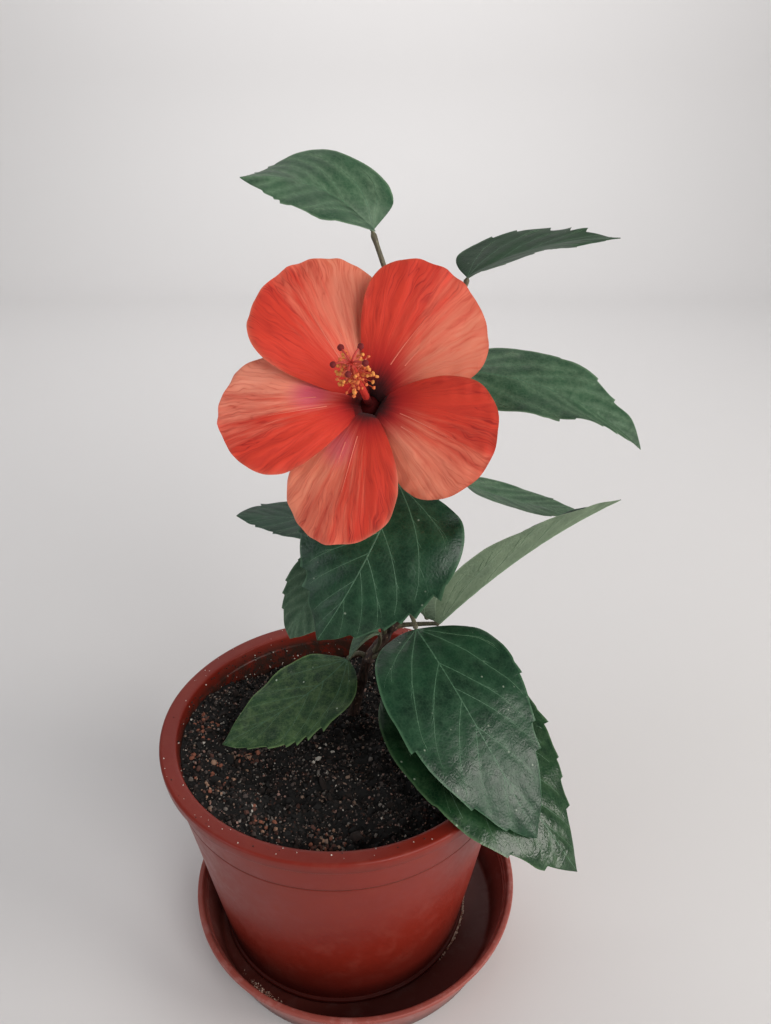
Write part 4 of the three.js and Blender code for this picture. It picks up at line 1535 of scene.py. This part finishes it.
@dataclass
class Bloom:
    """The open bloom: five petals, the stamen column, the calyx and the bloom's own stalk."""

    frame: BloomFrame = BloomFrame()
    column_path: tuple = ((0, 0, -20.4), (0, 0, 0), (-1, 2, 11), (-2.4, 5.2, 21.5))
    column_radius: float = 1.5
    column_tip_radius: float = 1.1
    column_rows: int = 90
    dark_rows: int = 34  # those that stand deep in the throat, where the column darkens
    style_length: float = 7
    style_spread: float = 56
    pad_radius: float = 1.1
    styles: int = 5
    anthers: int = 92
    anther_radius: float = 0.72
    bracts: int = 7
    bottom_depth: float = 35
    stalk_foot: Point = (39, 22, 276.0)
    stalk_bow: Point = (30, 8, 271.0)
    seed: int = 5

    def petals(self) -> list[Petal]:
        """The five petals."""
        sizes = {
            "upper_left": (124, 54, 51, 0.0, 0.12, "#d9705a", "#e1866c"),
            "upper_right": (50.5, 53, 50, 0.0, 0.22, "#b23a2b", "#cf785f"),
            "right": (-28.5, 51.5, 46, 0.0, 0.2, "#a83225", "#e4866a"),
            "bottom": (-101, 56, 42, 0.6, 0.15, "#dd7a64", "#ee8e70"),
            "left": (194.5, 54, 46, 0.85, 0.13, "#c65a48", "#f29a80"),
        }
        found = []
        for i, (name, (angle, reach, width, blush, throat, rim, pale)) in enumerate(sizes.items()):
            colours = {"rim": rim, "pale": pale}
            look = {"blush_share": blush, "throat_reach": throat, "seed": 3.7 * i}
            finish = PetalSkin(f"petal_face_{name}", **colours, **look)
            found.append(Petal(name, angle, reach, width, self.frame, finish))
        return found

    def column(self) -> None:
        """Builds the column with its styles, and the pads and anthers on it."""
        rng = np.random.default_rng(self.seed)
        line = through(np.array([self.frame.at(*p) for p in self.column_path]), self.column_rows)
        t = np.linspace(0, 1, len(line))
        radius = mix(self.column_radius, self.column_tip_radius, t) * (1 + 0.1 * Ripples(5, 2).at(line))
        radius = radius * (1 - 0.5 * smooth(0.97, 1, t)) + 2.6 * (1 - smooth(0, 0.1, t))
        skin = Skin()
        rings = tube(line, radius, 20)
        skin.rings(rings[: self.dark_rows + 1], 2, (0, 0, 1, 0.15))
        skin.rings(rings[self.dark_rows :], 0, (0, 0.16, 1, 0.4))
        way = unit(line[-1] - line[-6])
        first = unit(np.cross(way, self.frame.right))
        ends = self.style_threads(skin, line[-2], way, first)
        feet = 1 - 0.24 * rng.uniform(0.03, 1, self.anthers) ** 1.2
        sacs = []
        for i, foot in enumerate(feet):
            k = int(foot * (len(line) - 1))
            spoke = unit(turned(first, way, np.array(rng.uniform(0, FULL_TURN))))
            reach = rng.uniform(2.0, 6.2) + radius[k]
            end = line[k] + spoke * reach + way * rng.uniform(-0.4, 2.2)
            bow = (line[k] + end) / 2 + way * 0.3
            thread = Bend(line[k], bow, end).at(np.linspace(0, 1, 6))
            cell = (i / self.anthers, 0.75, (i + 0.9) / self.anthers, 1)
            skin.rings(tube(thread, np.linspace(0.2, 0.13, 6), 5), 1, cell)
            sacs.append(end)
        crimson = Plain("column_crimson", "#b8352c", 0.5)
        filament = Plain("filament_red", "#c8553a", 0.5)
        maroon = Plain("column_maroon", "#5c0d10", 0.6)
        lay(skin, "bloom_column", (crimson, filament, maroon), "stamens", "stamen_column")

        sizes = np.full((self.styles, 3), self.pad_radius) * rng.uniform(0.92, 1.06, (self.styles, 3))
        pads = Grain(3, 0.05, 12).copies(np.array(ends), sizes, np.zeros(self.styles))
        lay(pads, "bloom_stigma_pads", (Plain("stigma_velvet", "#6e1014", 0.85),), "stamens")

        sizes = self.anther_radius * rng.uniform(0.6, 1.15, (self.anthers, 3))
        pollen = Grain(2, 0.1, 13).copies(np.array(sacs), sizes, rng.choice(2, self.anthers))
        finishes = (Plain("pollen_yellow", "#d98c44", 0.85), Plain("pollen_orange", "#d06a3a", 0.85))
        lay(pollen, "bloom_anthers", finishes, "stamens")

    def style_threads(self, skin: Skin, tip: np.ndarray, way: np.ndarray, first: np.ndarray) -> list:
        """Adds the styles, which spread from the column's tip.

        Args:
            skin: What they are added to.
            tip: The column's tip.
            way: The column's direction there.
            first: A direction across the column, from which the styles are counted.

        Returns:
            The ends of the styles.
        """
        lean = math.radians(self.style_spread)
        ends = []
        for i in range(self.styles):
            spread = turned(first, way, np.array((i + 0.5) * FULL_TURN / self.styles))
            end = tip + (way * math.cos(lean) + spread * math.sin(lean)) * self.style_length
            bow = tip + way * self.style_length * 0.45 + spread * self.style_length * 0.25
            thread = Bend(tip, bow, end).at(np.linspace(0, 1, 12))
            cell = (i / self.styles, 0.45, i / self.styles + 0.18, 0.7)
            skin.rings(tube(thread, np.full(12, 0.36), 8), 0, cell)
            ends.append(end)
        return ends

    def calyx(self) -> None:
        """Builds the calyx with its five teeth and the ring of narrow bracts under it."""
        around = 100
        angle = round_angles(around)
        lip = -17 + 4 * np.abs(np.cos(2.5 * angle)) ** 1.5
        outside = [(0.6, -35.0), (2.2, -34.6), (4.4, -32), (5.7, -27), (6.2, -20.7), (7.4, lip)]
        inside = [(6.9, lip + 0.1), (5.4, -20.7), (0.6, -20.9)]
        rows = [(np.full(around, r), np.broadcast_to(depth, around)) for r, depth in outside + inside]
        knots = np.stack([np.stack(row, axis=-1) for row in rows])
        fine = np.linspace(0, len(rows) - 1, 57)
        low = np.floor(fine).astype(int).clip(0, len(rows) - 2)
        part = (fine - low)[:, None, None]
        rings = knots[low] * (1 - part) + knots[low + 1] * part
        radius = rings[..., 0] * (1 + 0.035 * np.cos(10 * angle))
        skin = Skin()
        cup = self.frame.at(radius * np.cos(angle), radius * np.sin(angle), rings[..., 1])
        skin.rings(cup, 0, (0, 0, 1, 0.7))
        q = np.linspace(0, 1, 16)
        breadth = 0.75 * np.sin(math.pi * (0.12 + 0.86 * q)) ** 0.7
        for i in range(self.bracts):
            turn = FULL_TURN * (i + 0.3) / self.bracts
            c, s = math.cos(turn), math.sin(turn)
            foot, bow, end = (
                self.frame.at(r * c, r * s, depth) for r, depth in ((1.9, -35.2), (5.6, -31.5), (8.6, -26.5))
            )
            cell = (i / self.bracts, 0.75, (i + 0.9) / self.bracts, 1)
            skin.rings(tube(Bend(foot, bow, end).at(q), breadth, 8), 0, cell)
        finish = GrowingSkin("calyx_rind", "#5b7a4a", "#42613a", "#84996a", 0.6, 0.6, 0.1)
        lay(skin, "bloom_calyx", (finish,), "calyx", "calyx")

    def stalk(self) -> None:
        """Builds the bloom's own stalk, with its joint, in place of its node."""
        q = np.linspace(0, 1, 90)[:, None]
        a, b = np.array(self.stalk_foot), np.array(self.stalk_bow)
        d = self.frame.at(0, 0, -self.bottom_depth)
        c = self.frame.at(0, 0, -self.bottom_depth - 14)
        line = (1 - q) ** 3 * a + 3 * q * (1 - q) ** 2 * b + 3 * q**2 * (1 - q) * c + q**3 * d
        q = q[:, 0]
        radius = 1.35 + 0.45 * bell(q, 0.06, 0.05) + 0.35 * bell(q, 0.62, 0.02) + 0.5 * smooth(0.85, 1, q)
        skin = Skin()
        skin.rings(tube(line, radius, 20))
        finish = GrowingSkin("flower_stalk_rind", "#5f7350", "#48583c", "#808c66", 0.5, 0.6, 0.12)
        lay(skin, "bloom_stalk", (finish,), "stalk", "flower_stalk")

    def build(self) -> None:
        """Builds the whole bloom."""
        for petal in self.petals():
            petal.build()
        self.column()
        self.calyx()
        self.stalk()


@dataclass
class GrowingTip:
    """The bud at the stem's end, wrapped in narrow scales."""

    seat: Point = (40.0, 20.97, 298.2)
    way: Point = (0.03, -0.03, 1.0)
    length: float = 9
    radius: float = 1.9
    scales: int = 5
    finish: GrowingSkin = GrowingSkin("tip_scales", "#6c8a58", "#4f6d44", "#8d9f74", 0.4, 0.55, 0.1)

    def build(self) -> None:
        """Builds the bud and its scales in place of its node."""
        way = unit(np.array(self.way))
        side = unit(np.cross(way, [1, 0.2, 0]))
        q = np.linspace(0, 1, 30)
        line = np.array(self.seat) - way * 0.6 + way * (q * self.length)[:, None]
        skin = Skin()
        skin.rings(tube(line, self.radius * np.sin(math.pi * (0.28 + 0.7 * q)) ** 1.1, 16), 0, (0, 0, 1, 0.5))
        breadth = 0.6 * np.sin(math.pi * np.linspace(0.15, 0.97, 14)) ** 0.8
        for i in range(self.scales):
            spoke = turned(side, way, np.array(FULL_TURN * i / self.scales * 1.9))
            foot = np.array(self.seat) + spoke * self.radius * 0.6
            bow = foot + way * 3.2 + spoke * 0.9
            end = foot + way * (5.2 + 0.5 * i) + spoke * 0.2
            scale = Bend(foot, bow, end).at(np.linspace(0, 1, 14))
            cell = (i / self.scales, 0.55, i / self.scales + 0.18, 1)
            skin.rings(tube(scale, breadth, 8), 0, cell)
        lay(skin, "growing_tip", (self.finish,), "calyx", "tip_bud")


# Each leaf has its name, the stalk's start, bend and end, and the blade's middle and tip on its
# first line. On the second are width, roll, twist, fold, lobe and tone, then teeth, toothed_from,
# tooth and wave, and where they differ outline_base, outline_tip and slim.
LEAVES = [
    Leaf(
        "top_left", (39, 21, 284), (26, 17, 318), (17, 18, 343), (-3, 10, 359), (-29, 0, 363),
        44, 34, -16, (38, -25), 9, LeafTone.SUNLIT, (4, 3), 0.72, 1.4, 0.8, 0.48, 0.88, -0.75,
    ),
    Leaf(
        "top_right", (40, 21, 289), (50, 27, 308), (55, 28, 324), (82, 30, 335), (113, 22, 340),
        40, -9, 0, (16, 6), 5, LeafTone.GLOSSY, (6, 3), 0.2, 2.8, 1.0, 0.44, 1.25,
    ),
    Leaf(
        "right", (39, 22, 268), (42, 28, 282), (51, 27, 286), (94, 22, 278), (129, 10, 257),
        37, -28, 15, (-20, 35), 3, LeafTone.SUNLIT, (3, 5), 0.45, 1.8, 1.2,
    ),
    Leaf(
        "right_small", (36, 24, 205), (47, 38, 222), (60, 46, 225), (89, 44, 216), (115, 38, 214),
        27, 0, 0, (10, 0), 3, LeafTone.SUNLIT, (2, 3), 0.6, 0.8, 0.8,
    ),
    Leaf(
        "right_back", (25, 27, 157), (38, 24, 160), (48, 20, 163), (87, 18, 203), (127, 20, 229),
        46, 30, 0, (32, 25), 3, LeafTone.SHADED, (0, 0), 0.5, 0, 0.8, 0.48, 1.0,
    ),
    Leaf(
        "left_small", (38, 23, 222), (25, 30, 226), (6, 28, 215), (-22, 30, 215), (-46, 24, 219),
        36, 5, 0, (0, 0), 3, LeafTone.SHADED, (3, 2), 0.55, 1.8, 0.8,
    ),
    Leaf(
        "centre", (38, 23, 232), (33, 5, 250), (27, -12, 251), (14, -36, 229), (-5, -42, 197),
        66, 30, 0, (0, -8), 3, LeafTone.DEEP, (6, 4), 0.42, 3.0, 1.2, 0.46, 0.95,
    ),
    Leaf(
        "left_behind", (22, 27, 151), (17, 20, 178), (9, 11, 201), (-11, 4, 188), (-21, -4, 171),
        50, 5, 0, (0, 0), 1, LeafTone.SUNLIT, (2, 6), 0.15, 1.6, 0.8,
    ),
    Leaf(
        "low_left", (13, 25, 137), (9, 25, 142), (3, 21, 141), (-21, 2, 130), (-54, -16, 120),
        46, 5, 0, (0, 0), 1, LeafTone.MOTTLED, (7, 0), 0.4, 2.8, 1.0, 0.66, 0.92,
    ),
    Leaf(
        "low_right", (30, 26, 168), (33, 13, 175), (36, 2, 172), (56, -36, 158), (85, -64, 113),
        70, 0, 0, (0, 0), 3, LeafTone.DEEP, (4, 3), 0.35, 2.8, 1.0, 0.52, 0.84, 0.3,
    ),
    Leaf(
        "low_right_under", (14, 25, 139), (25, 20, 146), (35, 4, 149), (71, -41, 131), (104, -63, 92),
        82, 0, 0, (0, -5), 3, LeafTone.OLIVE, (5, 2), 0.4, 2.8, 0.4, 0.48, 1.02, 0.2,
    ),
    Leaf(
        "low_curl", (16, 26, 142), (19, 21, 151), (19, 17, 159), (12, 15, 156), (4, 14, 146),
        14, 0, 0, (50, 30), 0, LeafTone.SUNLIT, (0, 0), 0.5, 0, 0.3,
    ),
    Leaf(
        "young", (33, 26, 178), (39, 14, 175), (41, 4, 177), (40, 1, 185), (45, 1, 191),
        13, 90, 0, (0, 0), 0, LeafTone.YOUNG, (2, 2), 0.5, 0.4, 0.3,
    ),
]


# ---------------------------------------------------------------- studio


@dataclass
class Studio:
    """A pale floor that curves up behind the object, soft lights and the camera.

    The sheet, the lamps and what they face are in metres.
    """

    floor_colour: str = "#d8d6d6"
    sheet_side: float = 4.0
    sheet_front: float = -3.0
    sheet_top: float = 3.0
    bend_start: float = 1.6
    bend_radius: float = 0.5
    air_colour: str = "#e9e8e6"
    air_strength: float = 0.32
    camera_place: Point = (22.0, -302.8, 381.1)
    camera_pitch: float = 26.11  # degrees below the horizon
    focal_length: float = 28.125
    sensor_width: float = 36.0

    def floor(self) -> None:
        """Builds the floor and the backdrop as one curved sheet."""
        start, radius = self.bend_start, self.bend_radius
        turn = np.linspace(0, math.pi / 2, 24)
        bend = [(start + radius * math.sin(a), radius - radius * math.cos(a)) for a in turn]
        line = [(self.sheet_front, 0.0), *bend, (start + radius, self.sheet_top)]
        points = [(x, y, z - 0.2 * MM) for y, z in line for x in (-self.sheet_side, self.sheet_side)]
        faces = [(2 * i, 2 * i + 1, 2 * i + 3, 2 * i + 2) for i in range(len(line) - 1)]
        mesh = bpy.data.meshes.new("studio_floor")
        mesh.from_pydata(points, [], faces)
        mesh.polygons.foreach_set("use_smooth", [True] * len(faces))
        mesh.materials.append(Plain("studio_paper", self.floor_colour, 0.6).made())
        sheet = bpy.data.objects.new("studio_floor", mesh)
        bpy.context.scene.collection.objects.link(sheet)

    def lamp(self, name: str, place: Point, aim: Point, size: float, power: float, colour: str) -> None:
        """Adds one soft square lamp.

        Args:
            name: The lamp's name.
            place: Where it is, in metres.
            aim: The point that it faces, in metres.
            size: Its side, in metres.
            power: Its power, in watts.
            colour: Its colour.
        """
        light = bpy.data.lights.new(name, "AREA")
        light.size = size
        light.energy = power
        light.color = linear(colour)[:3]
        lamp = bpy.data.objects.new(name, light)
        bpy.context.scene.collection.objects.link(lamp)
        back = unit(np.array(place) - np.array(aim))
        right = unit(np.cross(UP, back))
        up = np.cross(back, right)
        turn = Matrix([[float(v) for v in row] for row in np.stack([right, up, back], axis=1)])
        lamp.matrix_world = Matrix.Translation(place) @ turn.to_4x4()

    def camera(self) -> None:
        """Adds the camera."""
        data = bpy.data.cameras.new("camera")
        data.lens = self.focal_length
        data.sensor_width = self.sensor_width
        data.clip_start = 10 * MM
        camera = bpy.data.objects.new("camera", data)
        camera.location = [v * MM for v in self.camera_place]
        camera.rotation_euler = (math.radians(90 - self.camera_pitch), 0, 0)
        bpy.context.scene.collection.objects.link(camera)
        bpy.context.scene.camera = camera

    def build(self) -> None:
        """Builds the studio."""
        self.floor()
        centre = (0.02, 0.0, 0.2)
        self.lamp("key_lamp", (1.22, -0.42, 0.54), centre, 0.5, 10, "#fffaf4")
        self.lamp("front_lamp", (0.9, -1.35, 1.0), centre, 0.8, 16, "#fffdfa")
        self.lamp("window_lamp", (-1.3, -0.7, 0.6), centre, 0.9, 5.5, "#f4f8ff")
        self.lamp("wall_lamp", (0.0, 0.7, 1.9), (0.0, 2.1, 1.1), 1.2, 28, "#ffffff")
        world = bpy.data.worlds.new("studio_air")
        world.use_nodes = True
        air = world.node_tree.nodes["Background"]
        air.inputs["Color"].default_value = linear(self.air_colour)
        air.inputs["Strength"].default_value = self.air_strength
        bpy.context.scene.world = world
        bpy.context.scene.view_settings.view_transform = "Standard"
        self.camera()


def main() -> None:
    """Builds the shrub, its pot and the studio, in order."""
    logging.basicConfig(level=logging.INFO, format="%(name)s: %(message)s")
    Studio().build()
    pot, saucer = Pot(), Saucer()
    pot.build()
    saucer.build()
    PottingMix(pot).build()
    Dust(pot, saucer).build()
    Stem().build()
    GrowingTip().build()
    for leaf in LEAVES:
        leaf.build()
    Bloom().build()


if __name__ == "__main__":
    main()
